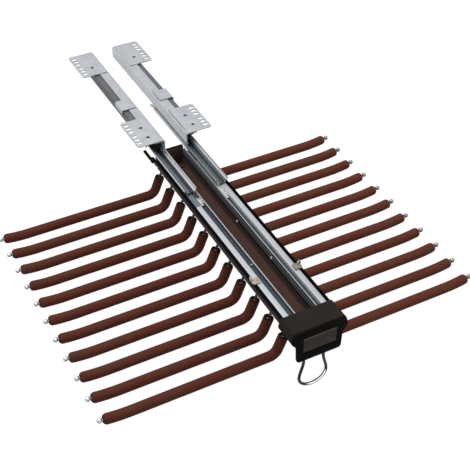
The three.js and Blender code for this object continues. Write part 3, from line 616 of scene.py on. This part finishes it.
INNER_FRONT, CARRIER_FRONT, CARRIER_REAR = -391, -409.2, 6.7
# painted shade and light on the inner rails: dark races, dark inboard faces, a grey-blue stretch of the
# left strip where the middle rail runs over it, a black line on the left outer wall, and a lighter upper
# race wall on the right
INNER_STEEL = {
    "left": drawn_steel("inner_rail_left", "c9cdd1", "b3b8bd", [
        (-23.2, -16.5, -40, -29.4, "1c2328", "46525a"),
        (-16.5, -15.9, -40, -29.0, "616b72", "616b72"),
        (-14.9, -14.0, -40, -28.6, "24282c", "24282c", -400.25, -149.75),
        (-31.4, -23.0, -30, -28.5, "5e6a71", "8d9a9f", -131.25, 7.25),
        (-31.6, -31.1, -40, -29.8, "0e1011", "0e1011")], (-16.35, -15.85)),
    "right": drawn_steel("inner_rail_right", "c3c7cc", "adb2b7", [
        (15.9, 22.7, -40, -29.0, "3a434b", "4a545c"),
        (22.7, 23.2, -40, -34.2, "59636b", "59636b"),
        (22.7, 23.2, -34.2, -29.4, "e6edf4", "e6edf4"),
        (14.0, 14.9, -40, -28.6, "24282c", "24282c", -400.25, -149.75)], (22.85, 23.25))}

for name, side in SIDES:
    shell = bmesh.new()
    line = [(15.4, -28.4), (15.4, -36.9), (23.7, -36.9), (23.7, -29.5), (30.7, -29.5), (30.7, -37.5)]
    prism_y(shell, folded(line, 1.2, 0.9, side), INNER_FRONT, CARRIER_REAR)
    finished(f"inner_slide_{name}", shell, INNER_STEEL[name], "rack", "rail_steel",
             f"inner_rail_{name}", bevel=0.12)

# A beige plastic lever turns on a steel pin in each wide strip. Its finger tab stands up outboard of
# the carrier and frees the rail when it is pressed.

RUN_FRONT, RUN_LENGTH = -378, 377
PIN_X, PIN_Y = 28.02, RUN_FRONT + RUN_LENGTH * 0.195
LEVER_FRONT, LEVER_REAR, LEVER_INNER, LEVER_OUTER = PIN_Y - 3.85, PIN_Y + 7.15, 25.2, 36.4
NOSE_RADIUS, HEEL_RADIUS = 3.4, 1.2


def beige_plastic():
    """Beige nylon: satin, with faint flow marks and a little dirt; the right lever is painted darker as
    shade.
    """
    beige = Finish("beige_plastic")
    flow = beige.noise(260, 2, (0.4, 1, 1))
    dirt = beige.noise(90, 3)
    across, _, _ = beige.axes()
    tone = flow * 0.5 + dirt.between(0.4, 0.8) * 0.5
    # painted shade: the lever on the right is coloured darker than the one on the left
    colour = across.past(0, 2).blend(tone.blend("cbc4b6", "a2998a"), tone.blend("989082", "736c60"))
    return beige.done(colour, 0.45 + flow * 0.12, 0.0, beige.bump(flow, 0.03),
                      **{"Subsurface Weight": 0.05})


BEIGE = beige_plastic()

for name, side in SIDES:
    shell = bmesh.new()
    nose, heel = LEVER_OUTER - NOSE_RADIUS, LEVER_REAR - HEEL_RADIUS
    outline = [(LEVER_INNER, LEVER_FRONT), *arc(nose, LEVER_FRONT + NOSE_RADIUS, NOSE_RADIUS, -90, 0),
               *arc(LEVER_OUTER - HEEL_RADIUS, heel, HEEL_RADIUS, 0, 90),
               *arc(LEVER_INNER + HEEL_RADIUS, heel, HEEL_RADIUS, 90, 180)]
    hole = arc(33.4, PIN_Y + 3.6, 0.9, 0, 330, 11)
    plate(shell, outline, [hole], -28.6, -27.1, 0.25, side=side)
    curl = [(35.3, -28.2), (36.4, -28.2), (36.6, -24.6), (36.2, -22.9), (35.0, -22.7)]
    prism_y(shell, folded(curl, 1.0, 0.9, side, 6), LEVER_REAR - 4.05, LEVER_REAR - 0.05)
    finished(f"lever_{name}", shell, BEIGE, f"lever_{name}", "lever_plastic", f"release_lever_{name}",
             bevel=0.15)


def turned(shell, profile, sides, place):
    """Adds a turned part: radii and heights of a profile that starts and ends on its axis."""
    rings = []
    for radius, height in profile:
        count = 1 if radius == 0 else sides
        turns = [2 * pi * i / count for i in range(count)]
        ring = [Vector((radius * cos(turn), radius * sin(turn), height)) for turn in turns]
        rings.append([shell.verts.new(place @ (corner * MM)) for corner in ring])
    skinned(shell, rings)


def moved_to(x, y, z):
    """The matrix of a move, from millimetres."""
    return Matrix.Translation(Vector((x, y, z)) * MM)


PIN_STEEL = drawn_steel("pin_steel", "9f988b", "938c80")
PIN_PROFILE = [(0, -3.4), (1.2, -3.4), (1.2, 1.45), (2.1, 1.45), (2.1, 1.58), (1.8, 1.68), (0.8, 1.7),
               (0.6, 1.6), (0, 1.6)]
for name, side in SIDES:
    shell = bmesh.new()
    turned(shell, PIN_PROFILE, 20, moved_to(side * PIN_X, PIN_Y, -28.6))
    finished(f"lever_pin_{name}", shell, PIN_STEEL, f"lever_{name}", "bright_steel")

# The carrier is one aluminium extrusion, powder coated dark brown: a deep trough in the middle and a
# shallow channel on each side for the inner rails. It is cut square at both ends.


def brown_coat():
    """Brown powder coat: fine orange peel, faint extrusion lines, lighter rubbed edges, and painted light
    and shade: a darker rear, lightened trough walls, a black shadow line in the trough, a lighter outside
    on the left and a highlight along the foot.
    """
    coat = Finish("brown_coat")
    across, along, up = coat.axes()
    peel = coat.noise(1300, 2)
    lines = coat.noise(900, 2, (1, 0.02, 1))
    cloud = coat.noise(14, 3)
    rubbed = coat.edges(0.53, 0.62)
    tone = cloud.between(0.3, 0.7) * 0.6 + lines.between(0.3, 0.7) * 0.4
    inside = 1 - across.size().past(13.7, 0.6)
    upper = inside * up.past(-38.9, 0.6)
    # painted shadow: a black line along each trough wall, below its grey-blue top
    gap_shadow_line = inside * up.past(-41.3, 1) * (1 - up.past(-38.8, 0.4))
    # painted highlight along the bottom of each outer face
    foot_highlight = across.size().past(35.7, 0.4) * (1 - up.past(-37.9, 0.6))
    # painted shade: the trough darkens towards the rear
    front = along.between(0.0, -0.4)
    brown = front.blend(tone.blend("4a3931", "57463d"), tone.blend("4f3c34", "5d4840"))
    # painted light: the trough walls are lightened low down, against their shade
    wall = inside * across.size().past(12.05)
    shade = up.past(-51.5, 6).blend("876a60", "5f4a42")
    brown = wall.blend(brown, up.past(-45.4, 2.8).blend(shade, "43352e"))
    # painted light and shade: outside, the lower faces on the left are grey and those on the right near
    # black
    outer = (1 - across.past(0, 2)) * (1 - up.past(-30.8, 0.8))
    colour = outer.blend(tone.blend("0b0b0c", "131314"), tone.blend("504d4d", "5c5959"))
    colour = inside.blend(colour, brown)
    colour = upper.blend(colour, tone.blend("54585e", "6a6f76"))
    colour = gap_shadow_line.blend(colour, "070707")
    colour = (foot_highlight * 0.8).blend(colour, "c0b0aa")
    colour = (rubbed * 0.2).blend(colour, "54463f")
    return coat.done(colour, 0.4 + peel * 0.12, 0.0, coat.bump(peel, 0.02, coat.bump(lines, 0.006)), 0.0)


def mirrored(points):
    """The points of a right half, and their mirror images back to the start."""
    return points + [(-x, z) for x, z in points[::-1]]


BROWN = brown_coat()
half = [(14.5, -59), (14.5, -39.3), (36, -39.3), (36, -28.9), (34.2, -28.9), (34.2, -37.8), (14.5, -37.8),
        (14.5, -30.2), (12.9, -30.2), (12.9, -43), (12.2, -43.4), (12.2, -57)]
shell = bmesh.new()
prism_y(shell, mirrored(half), CARRIER_FRONT, CARRIER_REAR)
finished("carrier_extrusion", shell, BROWN, "rack", "carrier_brown", "carrier_profile", bevel=0.3)

# Bright blind rivets of aluminium hold each inner rail to the wall of the trough. Their domed heads show
# inside.


def rivet_aluminium():
    """Pale aluminium of a blind rivet: satin, with a few dull specks, coloured near white as a painted
    highlight.
    """
    pale = Finish("rivet_aluminium")
    specks = pale.noise(1400, 2)
    # painted highlight: near white, brighter than bare aluminium
    colour = specks.blend("fbfbfb", "e9eaec")
    return pale.done(colour, 0.4 + specks * 0.1, 0.15, pale.bump(specks, 0.01))


RIVET = rivet_aluminium()
# the place and the profile of a large and of a small rivet
RIVETS = (((11.7, RUN_FRONT + RUN_LENGTH * 0.295, -34.4), (
    (0, 0.0), (1.0, 0.0), (1.9, 0.35), (2.3, 0.95), (1.2, 0.95), (1.2, 4.5), (1.3, 5.6), (0.7, 6.2),
    (0, 6.2))), ((11.6, -169.6, -42.6), (
        (0, 0.0), (0.9, 0.0), (1.6, 0.4), (1.8, 0.9), (1.8, 1.2), (0, 1.2))))
for name, side in SIDES:
    shell = bmesh.new()
    turn = Matrix.Rotation(radians(90 * side), 4, "Y")
    for (x, y, z), profile in RIVETS:
        turned(shell, profile, 20, moved_to(side * x, y, z) @ turn)
    finished(f"rivet_{name}", shell, RIVET, "rack", "bright_steel", f"rail_rivet_{name}", bevel=0.08)

# A black plastic bar below the trough has a groove for each rod. Three pan head screws pull it up and
# clamp the rods against the floor of the carrier.

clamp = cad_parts["clamp_bar"]
clamp.data.materials.clear()
clamp.data.materials.append(BLACK)


def bright_steel():
    """Polished steel: bright, with barely visible grinding."""
    bright = Finish("bright_steel")
    grinding = bright.noise(700, 2)
    colour = grinding.blend("c9ccd0", "e6e8ea")
    return bright.done(colour, 0.08 + grinding * 0.07, 1.0, bright.bump(grinding, 0.004))


BRIGHT = bright_steel()
SCREWS, SHANK = (1, 2, 3), 7.8
SCREW_PROFILE = [(0, SHANK), (1.6, SHANK), (1.6, -1.0), (3.1, -1.0), (3.3, -1.4), (3.0, -1.9), (2.2, -2.3),
                 (1.3, -2.3), (1.1, -1.5), (0, -1.5)]
shell = bmesh.new()
for number in SCREWS:
    low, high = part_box(f"clamp_screw_{number}")
    place = Vector(((low.x + high.x) / 2, (low.y + high.y) / 2, high.z - SHANK * MM))
    turned(shell, SCREW_PROFILE, 20, Matrix.Translation(place))
finished("clamp_screws", shell, BRIGHT, "rack", "bright_steel", *[f"clamp_screw_{i}" for i in SCREWS],
         bevel=0.08)

# A moulded cap closes the rear end of the trough. It is black outside and brown inside the trough, where
# its plug sits, and its foot stands over the last rod.


def brown_plastic():
    """Plastic of the rear cap: finely eroded, black outside, brown in the trough, painted lighter there
    against the shade of the trough.
    """
    moulded = Finish("brown_plastic")
    grain = moulded.noise(1900, 2)
    cloud = moulded.noise(50, 2)
    _, along, up = moulded.axes()
    tone = cloud.between(0.3, 0.7) * 0.7 + grain * 0.3
    colour = (1 - along.past(7, 0.4)) * (1 - up.past(-24.9, 0.6))
    # painted light: in the trough the cap is a brown lighter than the carrier floor, against the shade of
    # the trough
    colour = colour.blend(tone.blend("141312", "1d1b19"), tone.blend("66504a", "7a6158"))
    colour = (1 - up.past(-54.6, 1.2)).blend(colour, tone.blend("4a3931", "57463d"))
    return moulded.done(colour, 0.55 + grain * 0.15, 0.0, moulded.bump(grain, 0.02), 0.1)


CAP_HALF, CAP_TOP, CAP_CORNER, TROUGH_FLOOR, PLUG_HALF = 14.5, -23.5, 2.5, -59, 11.9
UPRIGHT = Matrix.Rotation(radians(90), 4, "X")
shell = bmesh.new()
side, top = CAP_HALF - CAP_CORNER, CAP_TOP - CAP_CORNER
outline = [(-CAP_HALF, TROUGH_FLOOR), (CAP_HALF, TROUGH_FLOOR), *arc(side, top, CAP_CORNER, 0, 90),
           *arc(-side, top, CAP_CORNER, 90, 180)]
plate(shell, outline, [], -10, -7, 0.5, UPRIGHT)
box(shell, (-PLUG_HALF, PLUG_HALF), (-3.3, 8.5), (-56.7, -55.2))
box(shell, (-PLUG_HALF, PLUG_HALF), (8.5, 26), (TROUGH_FLOOR, -47))
finished("end_cap", shell, brown_plastic(), "rack", "black_plastic", "rear_end_cap", bevel=0.35)

# A soft stop damper sits beside the rear of the carrier on the left: a black body with a rounded
# finger, and a thin polished rod with a ball end that runs out to the front.

DAMPER_X, DAMPER_Z, DAMPER_FRONT, DAMPER_LENGTH = -38.7, -31.9, -0.3, 31.0
CASE_PROFILE = [(0, 1.5), (1.0, 1.5), (1.1, -0.2), (1.7, -0.2), (2.0, 0.2), (2.0, 6.5), (2.4, 7.2)]
CASE_PROFILE += [(radius, DAMPER_LENGTH - short) for radius, short in (
    (2.4, 9), (2.1, 8.6), (2.1, 7.6), (2.4, 7.2), (2.4, 2.2), (2.1, 0.9), (1.2, 0.2), (0, 0))]
PLUNGER_PROFILE = [(0, 10), (0.75, 9.8), (0.75, -14.8), (1.25, -15.3), (1.4, -16), (1.2, -16.7),
                   (0.7, -17.2), (0, -17.4)]
along = moved_to(DAMPER_X, DAMPER_FRONT, DAMPER_Z) @ Matrix.Rotation(radians(-90), 4, "X")
shell = bmesh.new()
box(shell, (-36.3, -39.9), (DAMPER_FRONT, DAMPER_FRONT + 7), (DAMPER_Z - 3.5, DAMPER_Z + 3.5))
turned(shell, CASE_PROFILE, 24, along)
finished("damper_case", shell, BLACK, "rack", "black_plastic", "damper_body", bevel=0.3)
shell = bmesh.new()
turned(shell, PLUNGER_PROFILE, 20, along)
finished("damper_plunger", shell, BRIGHT, "damper_plunger", "bright_steel", "damper_rod", smooth=50)

# The front cap is one black moulding: a hood over the end of the carrier, a front plate with a label
# pocket, and a socket below that holds the legs of the loop.

PLATE_FRONT, PLATE_REAR, HOOD_REAR = -413, -409.5, -378
HOOD_TOP, HOOD_HALF, FLARE_HALF, FLARE_TOP, SKIRT = -26.3, 36.8, 39.8, -36.8, -40.8
CHIN, CHIN_HALF, CHIN_CORNER = -76.3, 32, 4.5
LABEL_HALF, LABEL_TOP, LABEL_BOTTOM, POCKET_GAP = 23.6, -38.3, -60.3, 0.3


def oblong(half, bottom, top):
    """An upright oblong about the middle line."""
    return [(-half, bottom), (half, bottom), (half, top), (-half, top)]


shoulder = [(FLARE_HALF, SKIRT), (FLARE_HALF, FLARE_TOP), (HOOD_HALF + 0.3, -27.4),
            (HOOD_HALF - 0.9, HOOD_TOP)]
shell = bmesh.new()
hood = mirrored([(36.3, SKIRT), *shoulder]) + [(-36.3, -28.1), (36.3, -28.1)]
prism_y(shell, hood, PLATE_REAR - 1, HOOD_REAR)
chin = arc(CHIN_HALF - CHIN_CORNER, CHIN + CHIN_CORNER, CHIN_CORNER, 0, -90, 6)
front = mirrored([*shoulder[::-1], (33.4, -49.4), (33, -50.8), *chin])
pocket = oblong(LABEL_HALF + POCKET_GAP, LABEL_BOTTOM - POCKET_GAP, LABEL_TOP + POCKET_GAP)
plate(shell, front, [pocket], -PLATE_FRONT - 1.6, -PLATE_FRONT, 0.6, UPRIGHT)
plate(shell, front, [], -PLATE_REAR, -PLATE_FRONT - 1.55, 0.3, UPRIGHT)
box(shell, (-20, 20), (PLATE_REAR - 1, PLATE_REAR + 16.5), (-59.3, -73.7))
for rib in (-12, 0, 12):
    box(shell, (rib - 0.8, rib + 0.8), (PLATE_REAR - 0.5, PLATE_REAR + 15.5), (-73.5, -75.4))
finished("cap", shell, BLACK, "rack", "black_plastic", "front_cap", bevel=0.45, segments=3)

# A plain grey brown card with a bright upper edge is pushed into the pocket of the front plate. Nothing
# is printed on it.


def grey_card():
    """Uncoated grey brown card with faint upright fibres and a bright upper edge."""
    card = Finish("grey_card")
    fibre = card.noise(1500, 3, (1, 1, 0.4))
    cloud = card.noise(70, 2)
    _, _, up = card.axes()
    edge = up.past(-38.75, 0.3)
    tone = fibre.between(0.3, 0.7) * 0.5 + cloud * 0.5
    colour = edge.blend(tone.blend("37322d", "45403a"), "8b867e")
    return card.done(colour, 0.55 + fibre * 0.15, 0.0, card.bump(fibre, 0.02), 0.12)


shell = bmesh.new()
outline = oblong(LABEL_HALF, LABEL_BOTTOM, LABEL_TOP)
plate(shell, outline, [], -PLATE_FRONT - 1.3, -PLATE_FRONT + 0.5, 0.25, UPRIGHT)
finished("label", shell, grey_card(), "rack", "label_grey", "label_insert")

# The pull loop is one nickel plated wire, coloured near black as a painted reflection of dark
# surroundings. Its two straight legs are held in the socket of the front cap and widen into a round bowl
# for a finger.


LOOP_Y, LEG_TOP, LEG_HALF, BOWL_HALF = -401, -63.275, 14.4, 20.0
LEG_BOTTOM, BOWL_TOP, BOWL_DROP, LOOP_WIRE = LEG_TOP - 28.7, LEG_TOP - 57.7, 17.6, 2.1


def loop_wire():
    """Nickel plated wire: mirror bright, coloured near black as a painted reflection of dark surroundings,
    with a painted highlight on the bowl and soft marks of the bending dies.
    """
    wire = Finish("loop_wire")
    marks = wire.noise(220, 2)
    across, along, up = wire.axes()
    drop = (up - BOWL_TOP * MM) * (BOWL_HALF / BOWL_DROP)
    inner = 1 - (across * across + drop * drop).between(0.0192 ** 2, 0.0195 ** 2)
    # painted highlight: a near-white stripe on the front of the lower bowl, towards the right
    painted_highlight = (1 - along.past(-401.7, 0.4)) * across.past(-6, 12) * (1 - up.past(-123.5, 5)) * inner
    colour = painted_highlight.blend(marks.blend("262220", "393532"), "f2f2f2")
    return wire.done(colour, 0.07 + marks * 0.08, 1.0, wire.bump(marks, 0.01))


def wire_row(name, line, y, finish, wire, ball=0.5, count=1, step=0):
    """Round wire along a line of x and z with balls at its ends, repeated towards the front."""
    start, values = growing_tree(name, Wire=wire * MM, Ball=ball * MM, Count=count,
                                 Step=(0.0, -step * MM, 0.0))
    path = start.node("GeometryNodeMeshToCurve", {"Mesh": values["Geometry"]})
    ring = start.node("GeometryNodeCurvePrimitiveCircle", {"Resolution": 16, "Radius": values["Wire"]})
    wire = start.node("GeometryNodeCurveToMesh", {"Curve": path, "Profile Curve": ring, "Fill Caps": True})
    ball = start.node("GeometryNodeMeshUVSphere", {"Segments": 20, "Rings": 14, "Radius": values["Ball"]})
    balls = path.copies(ball, Selection=start.node("GeometryNodeCurveEndpointSelection"))
    row = start.node("GeometryNodeMeshLine", {"Count": values["Count"], "Offset": values["Step"]})
    rows = row.copies(joined(start, wire, balls))
    base = points_mesh([(x, y, z) for x, z in line], [(i, i + 1) for i in range(len(line) - 1)])
    return grown(start, rows, values, base, finish)


right = [(LEG_HALF, LEG_TOP), (LEG_HALF, LEG_BOTTOM + 2)]
for step in range(13):
    t = step / 12
    spread = 3 * t ** 2 - 2 * t ** 3
    right.append((LEG_HALF + (BOWL_HALF - LEG_HALF) * spread, LEG_BOTTOM + (BOWL_TOP - LEG_BOTTOM) * t))
bowl = [pi * i / 32 for i in range(1, 17)]
right += [(BOWL_HALF * cos(turn), BOWL_TOP - BOWL_DROP * sin(turn)) for turn in bowl]
line = right + [(-x, z) for x, z in right[-2::-1]]
WIRE = loop_wire()
shell = wire_row("loop_path", line, LOOP_Y, WIRE, LOOP_WIRE)
finished("loop", shell, WIRE, "rack", "loop_wire", "pull_loop", smooth=60)

# Eleven steel rods, bent to a left and a right arm and polished, are clamped under the carrier. Each end
# carries a turned ball that keeps trousers and sleeve from slipping off.

ARMS, PITCH, BACK_ARM = 11, 38, 19
RUN_Z, ARM_Z, REACH = -61.4, -107.5, 275.3
SHOULDER, ELBOW = 14.2, 32.8
SHOULDER_RADIUS, ELBOW_RADIUS, ROD_WIRE, ROD_BALL = 6, 14, 2.1, 3.6
COVERED_TIP, BARE_TIP, RISE = 38, 4.8, 4.5
TIP = COVERED_TIP + BARE_TIP
TIP_RADIUS = (TIP ** 2 + RISE ** 2) / (2 * RISE)


def rod_steel():
    """Polished rod with painted reflection, bright on top and dark below the balls, painted shade on the
    tips to the right and above the sleeves, and a painted highlight in each sleeve mouth.
    """
    rod = Finish("rod_steel")
    turning = rod.noise(900, 2)
    across, _, up = rod.axes()
    # painted reflection: bright above, dark below
    bright = up.past(-102.5, 4.6)
    # painted shade: the tips on the right are greyer
    light = across.past(269, 2).blend(turning.blend("c9ccce", "e3e5e6"), "989592")
    colour = bright.blend("232725", light)
    # painted highlight on the rod inside each sleeve mouth, and painted shade above it under the carrier
    mouth_glint_and_shade = up.past(-84.5, 1)
    colour = mouth_glint_and_shade.blend(colour, up.past(-78.5, 1).blend("ffffff", "3c3330"))
    return rod.done(colour, 0.16 + turning * 0.1, 1.0 - mouth_glint_and_shade * 0.85, rod.bump(turning, 0.004))


def tip(length):
    """A place on the raised tip, at a length from its start."""
    turn = length / TIP_RADIUS
    return (REACH - TIP + TIP_RADIUS * sin(turn), ARM_Z + TIP_RADIUS * (1 - cos(turn)))


bends = rounded([(0, RUN_Z), (SHOULDER, RUN_Z), (ELBOW, ARM_Z), (REACH - TIP, ARM_Z)],
                (SHOULDER_RADIUS, ELBOW_RADIUS), 8)
half_rod = [*bends[1:-1], *[tip(TIP * i / 8) for i in range(9)]]
line = [(-x, z) for x, z in half_rod[::-1]] + half_rod
ROD = rod_steel()
shell = wire_row("rod_path", line, BACK_ARM, ROD, ROD_WIRE, ROD_BALL, ARMS, PITCH)
rods = [f"arm_rod_{i:02d}" for i in range(1, ARMS + 1)]
finished("arm_rods", shell, ROD, "rack", "bright_steel", *rods, smooth=60)

# A thick brown rubber sleeve is pushed over each arm, so that trousers don't slip. It follows the bends
# of the rod; its top end is a hollow mouth round the rod and its tip end a softened rim.

SLEEVE_RADIUS, SLEEVE_BORE, SLEEVE_DROP, SLEEVE_SIDES = 7.3, 2.85, 16.5, 28
# rings of the two ends: how far inward they lie, and their radius
MOUTH = ((4.8, 3.0), (0.8, 5.1), (0.0, 5.7), (0.1, 6.3), (0.8, 6.9), (2.0, 7.2), (3.6, SLEEVE_RADIUS))
RIM = ((4.0, SLEEVE_RADIUS), (2.2, 6.7), (0.9, 6.0), (0.1, 5.0), (0.0, 3.9), (0.4, 3.1))


def brown_rubber():
    """Soft matte rubber: a dusty bloom, small pores, redder and browner stretches, and painted light and
    shade: lighter on the right arms, darker at the ends and along the underside.
    """
    rubber = Finish("brown_rubber")
    pores = rubber.noise(2200, 3, rough=0.6)
    dust = rubber.noise(420, 3)
    stretch = rubber.noise(48, 2, (0.4, 1.2, 1))
    across, _, up = rubber.axes()
    tone = stretch.between(0.38, 0.62)
    # painted light: the sleeves on the right are coloured lighter than those on the left
    colour = across.past(0, 40).blend(tone.blend("622c21", "5d3425"), tone.blend("6d3426", "683e2b"))
    bloom = dust.between(0.35, 0.75) * 0.45 + pores.between(0.4, 0.8) * 0.2
    colour = bloom.blend(colour, "5b2c1f")
    # darker at both ends of each sleeve; at the top ends under the carrier this is painted shade
    ends = across.size().past(269.9, 1.4).most(up.past(-78.25, 2.5))
    colour = (ends * 0.85).blend(colour, "24110c")
    # painted shade along the underside of each sleeve
    under = 1 - up.past(-111.4, 4.8)
    colour = (under * 0.7).blend(colour, "200c05")
    relief = rubber.bump(pores, 0.09, rubber.bump(dust, 0.1))
    return rubber.done(colour, 0.72 + pores * 0.18, 0.0, relief, 0.2,
                       **{"Sheen Weight": 0.08, "Sheen Roughness": 0.4})


def sleeve_line():
    """The places along a right sleeve, from its top to its tip, each with its heading."""
    fall = SLEEVE_DROP / (RUN_Z - ARM_Z)
    top = (SHOULDER + (ELBOW - SHOULDER) * fall, RUN_Z - SLEEVE_DROP)
    line = rounded([top, (ELBOW, ARM_Z), (REACH - TIP, ARM_Z)], [ELBOW_RADIUS], 12)[:-1]
    bend_end = line[-1].x
    line += [(bend_end + (REACH - TIP - bend_end) * i / 10, ARM_Z) for i in range(1, 10)]
    line += [tip(COVERED_TIP * i / 8) for i in range(9)]
    ends = zip([line[0], *line], line, [*line[1:], line[-1]])
    return [(x, z, atan2(after[1] - before[1], after[0] - before[0])) for before, (x, z), after in ends]


def sleeve(shell, side):
    """Adds one sleeve: its outside from the mouth to the tip rim, and back through its bore."""
    line = sleeve_line()
    last = len(line) - 1
    course = [(0, *end) for end in MOUTH] + [(i, 0, SLEEVE_RADIUS) for i in range(1, last)]
    course += [(last, -inward, radius) for inward, radius in RIM] + [(last, -0.6, SLEEVE_BORE)]
    course += [(i, 0, SLEEVE_BORE) for i in range(last - 1, 0, -1)] + [(0, 5.0, SLEEVE_BORE)]
    turns = [2 * pi * i / SLEEVE_SIDES for i in range(SLEEVE_SIDES)]
    rings = []
    for place, inward, radius in course:
        x, z, heading = line[place]
        x, z = x + inward * cos(heading), z + inward * sin(heading)
        rings.append([shell.verts.new((
            side * (x - sin(heading) * radius * sin(turn)) * MM, (BACK_ARM + radius * cos(turn)) * MM,
            (z + cos(heading) * radius * sin(turn)) * MM)) for turn in turns])
    skinned(shell, rings + rings[:1])


def sleeve_row(base, finish):
    """Repeats the base sleeves along the carrier, each a little uneven."""
    start, values = growing_tree("sleeve_row", Count=ARMS, Step=(0.0, -PITCH * MM, 0.0),
                                 Unevenness=0.25 * MM, Seed=4.0)
    line = start.node("GeometryNodeMeshLine", {"Count": values["Count"], "Offset": values["Step"]})
    real = start.node("GeometryNodeRealizeInstances", {0: line.copies(values["Geometry"])})
    normal = start.node("GeometryNodeInputNormal")
    uneven = start.node("ShaderNodeTexNoise", {"W": values["Seed"], "Scale": 45.0, "Detail": 1.0},
                        noise_dimensions="4D")
    depth = (uneven - 1.0) * values["Unevenness"]
    push = start.node("ShaderNodeVectorMath", {0: normal, "Scale": depth}, operation="SCALE")
    moved = start.node("GeometryNodeSetPosition", {"Geometry": real, "Offset": push})
    return grown(start, moved, values, base, finish)


RUBBER = brown_rubber()
pair = bmesh.new()
for _, side in SIDES:
    sleeve(pair, side)
base = bpy.data.meshes.new("sleeve_pair")
pair.to_mesh(base)
pair.free()
shell = sleeve_row(base, RUBBER)
finished("arm_sleeves", shell, RUBBER, "rack", "sleeve_rubber",
         *[f"sleeve_{name}_{i:02d}" for name, _ in SIDES for i in range(1, ARMS + 1)], smooth=50)

# A pale floor well below the rack, a plain white surround, one broad lamp above and behind, and a weak
# fill in front.


FLOOR_Z, FLOOR_HALF, FLOOR_SHADE, FLOOR_GLOW = -0.45, 6, 0.3, 0.885
SKY_LIGHT, SKY_GLOW = 0.32, 0.68


def seen_directly(start):
    """1 for camera, mirror and glass rays, and 0 for the light that falls on the rack."""
    camera = start.node("ShaderNodeLightPath")
    return camera.most(camera.other(3)).most(camera.other(6))


def backdrop(name, shade, glow):
    """Diffuse paper, a little brighter to the eye than it is lit, and clear from below."""
    paper = Finish(name)
    start = paper.start
    back = start.node("ShaderNodeNewGeometry", out=6)
    diffuse = start.node("ShaderNodeBsdfDiffuse", {"Color": (shade, shade, shade, 1)})
    bright = start.node("ShaderNodeEmission", {
        "Color": (1, 1, 1, 1), "Strength": seen_directly(start) * glow})
    lit = start.node("ShaderNodeAddShader", {0: diffuse, 1: bright})
    clear = start.node("ShaderNodeBsdfTransparent")
    whole = start.node("ShaderNodeMixShader", {0: back, 1: lit, 2: clear})
    return paper.ended(whole)


mesh = bpy.data.meshes.new("floor")
corners = [(x * FLOOR_HALF, y * FLOOR_HALF, FLOOR_Z) for x, y in ((-1, -1), (1, -1), (1, 1), (-1, 1))]
mesh.from_pydata(corners, [], [(0, 1, 2, 3)])
mesh.materials.append(backdrop("floor_paper", FLOOR_SHADE, FLOOR_GLOW))
placed("floor", mesh)

world = bpy.data.worlds.new("studio")
world.use_nodes = True
world.node_tree.nodes.clear()
sky = Value(world.node_tree)
light = sky.node("ShaderNodeBackground", {
    "Color": (1, 1, 1, 1), "Strength": SKY_LIGHT + seen_directly(sky) * SKY_GLOW})
output = world.node_tree.nodes.new("ShaderNodeOutputWorld")
world.node_tree.links.new(light.socket, output.inputs["Surface"])
bpy.context.scene.world = world

LAMP_AIM = Vector((0, -0.1, -0.1))
for name, place, width, power in (("key", (-0.45, 0.1, 1.7), 1.4, 21), ("fill", (0.9, -1.6, 0.5), 1.0, 3)):
    lamp = bpy.data.lights.new(name, "AREA")
    lamp.shape, lamp.size, lamp.energy = "DISK", width, power
    holder = placed(name, lamp)
    holder.location = place
    holder.rotation_euler = (LAMP_AIM - Vector(place)).to_track_quat("-Z", "Y").to_euler()

# The camera stands at the photograph's angle, high to the front left, and looks through a long lens. It
# is turned a little about its own line of sight.

AZIMUTH, ELEVATION, ROLL = radians(-27.413), radians(40.115), radians(-0.287)
DISTANCE, AIM, SHIFT = 1461.622, Vector((0, -171.3, -82.481)), (7.38, 16.396)
FOCAL_LENGTH, PICTURE_WIDTH, SENSOR = 1039.722, 470, 36

turn = (Matrix.Rotation(AZIMUTH, 3, "Z") @ Matrix.Rotation(radians(90) - ELEVATION, 3, "X")
        @ Matrix.Rotation(ROLL, 3, "Z"))
camera = bpy.data.cameras.new("camera")
camera.lens, camera.sensor_width = FOCAL_LENGTH / PICTURE_WIDTH * SENSOR, SENSOR
camera.clip_start, camera.clip_end = 0.1, 100
eye = placed("camera", camera)
stand = AIM + turn @ Vector((*SHIFT, DISTANCE))
eye.matrix_world = Matrix.Translation(stand * MM) @ turn.to_4x4()
bpy.context.scene.camera = eye
bpy.context.scene.view_settings.view_transform = "Standard"
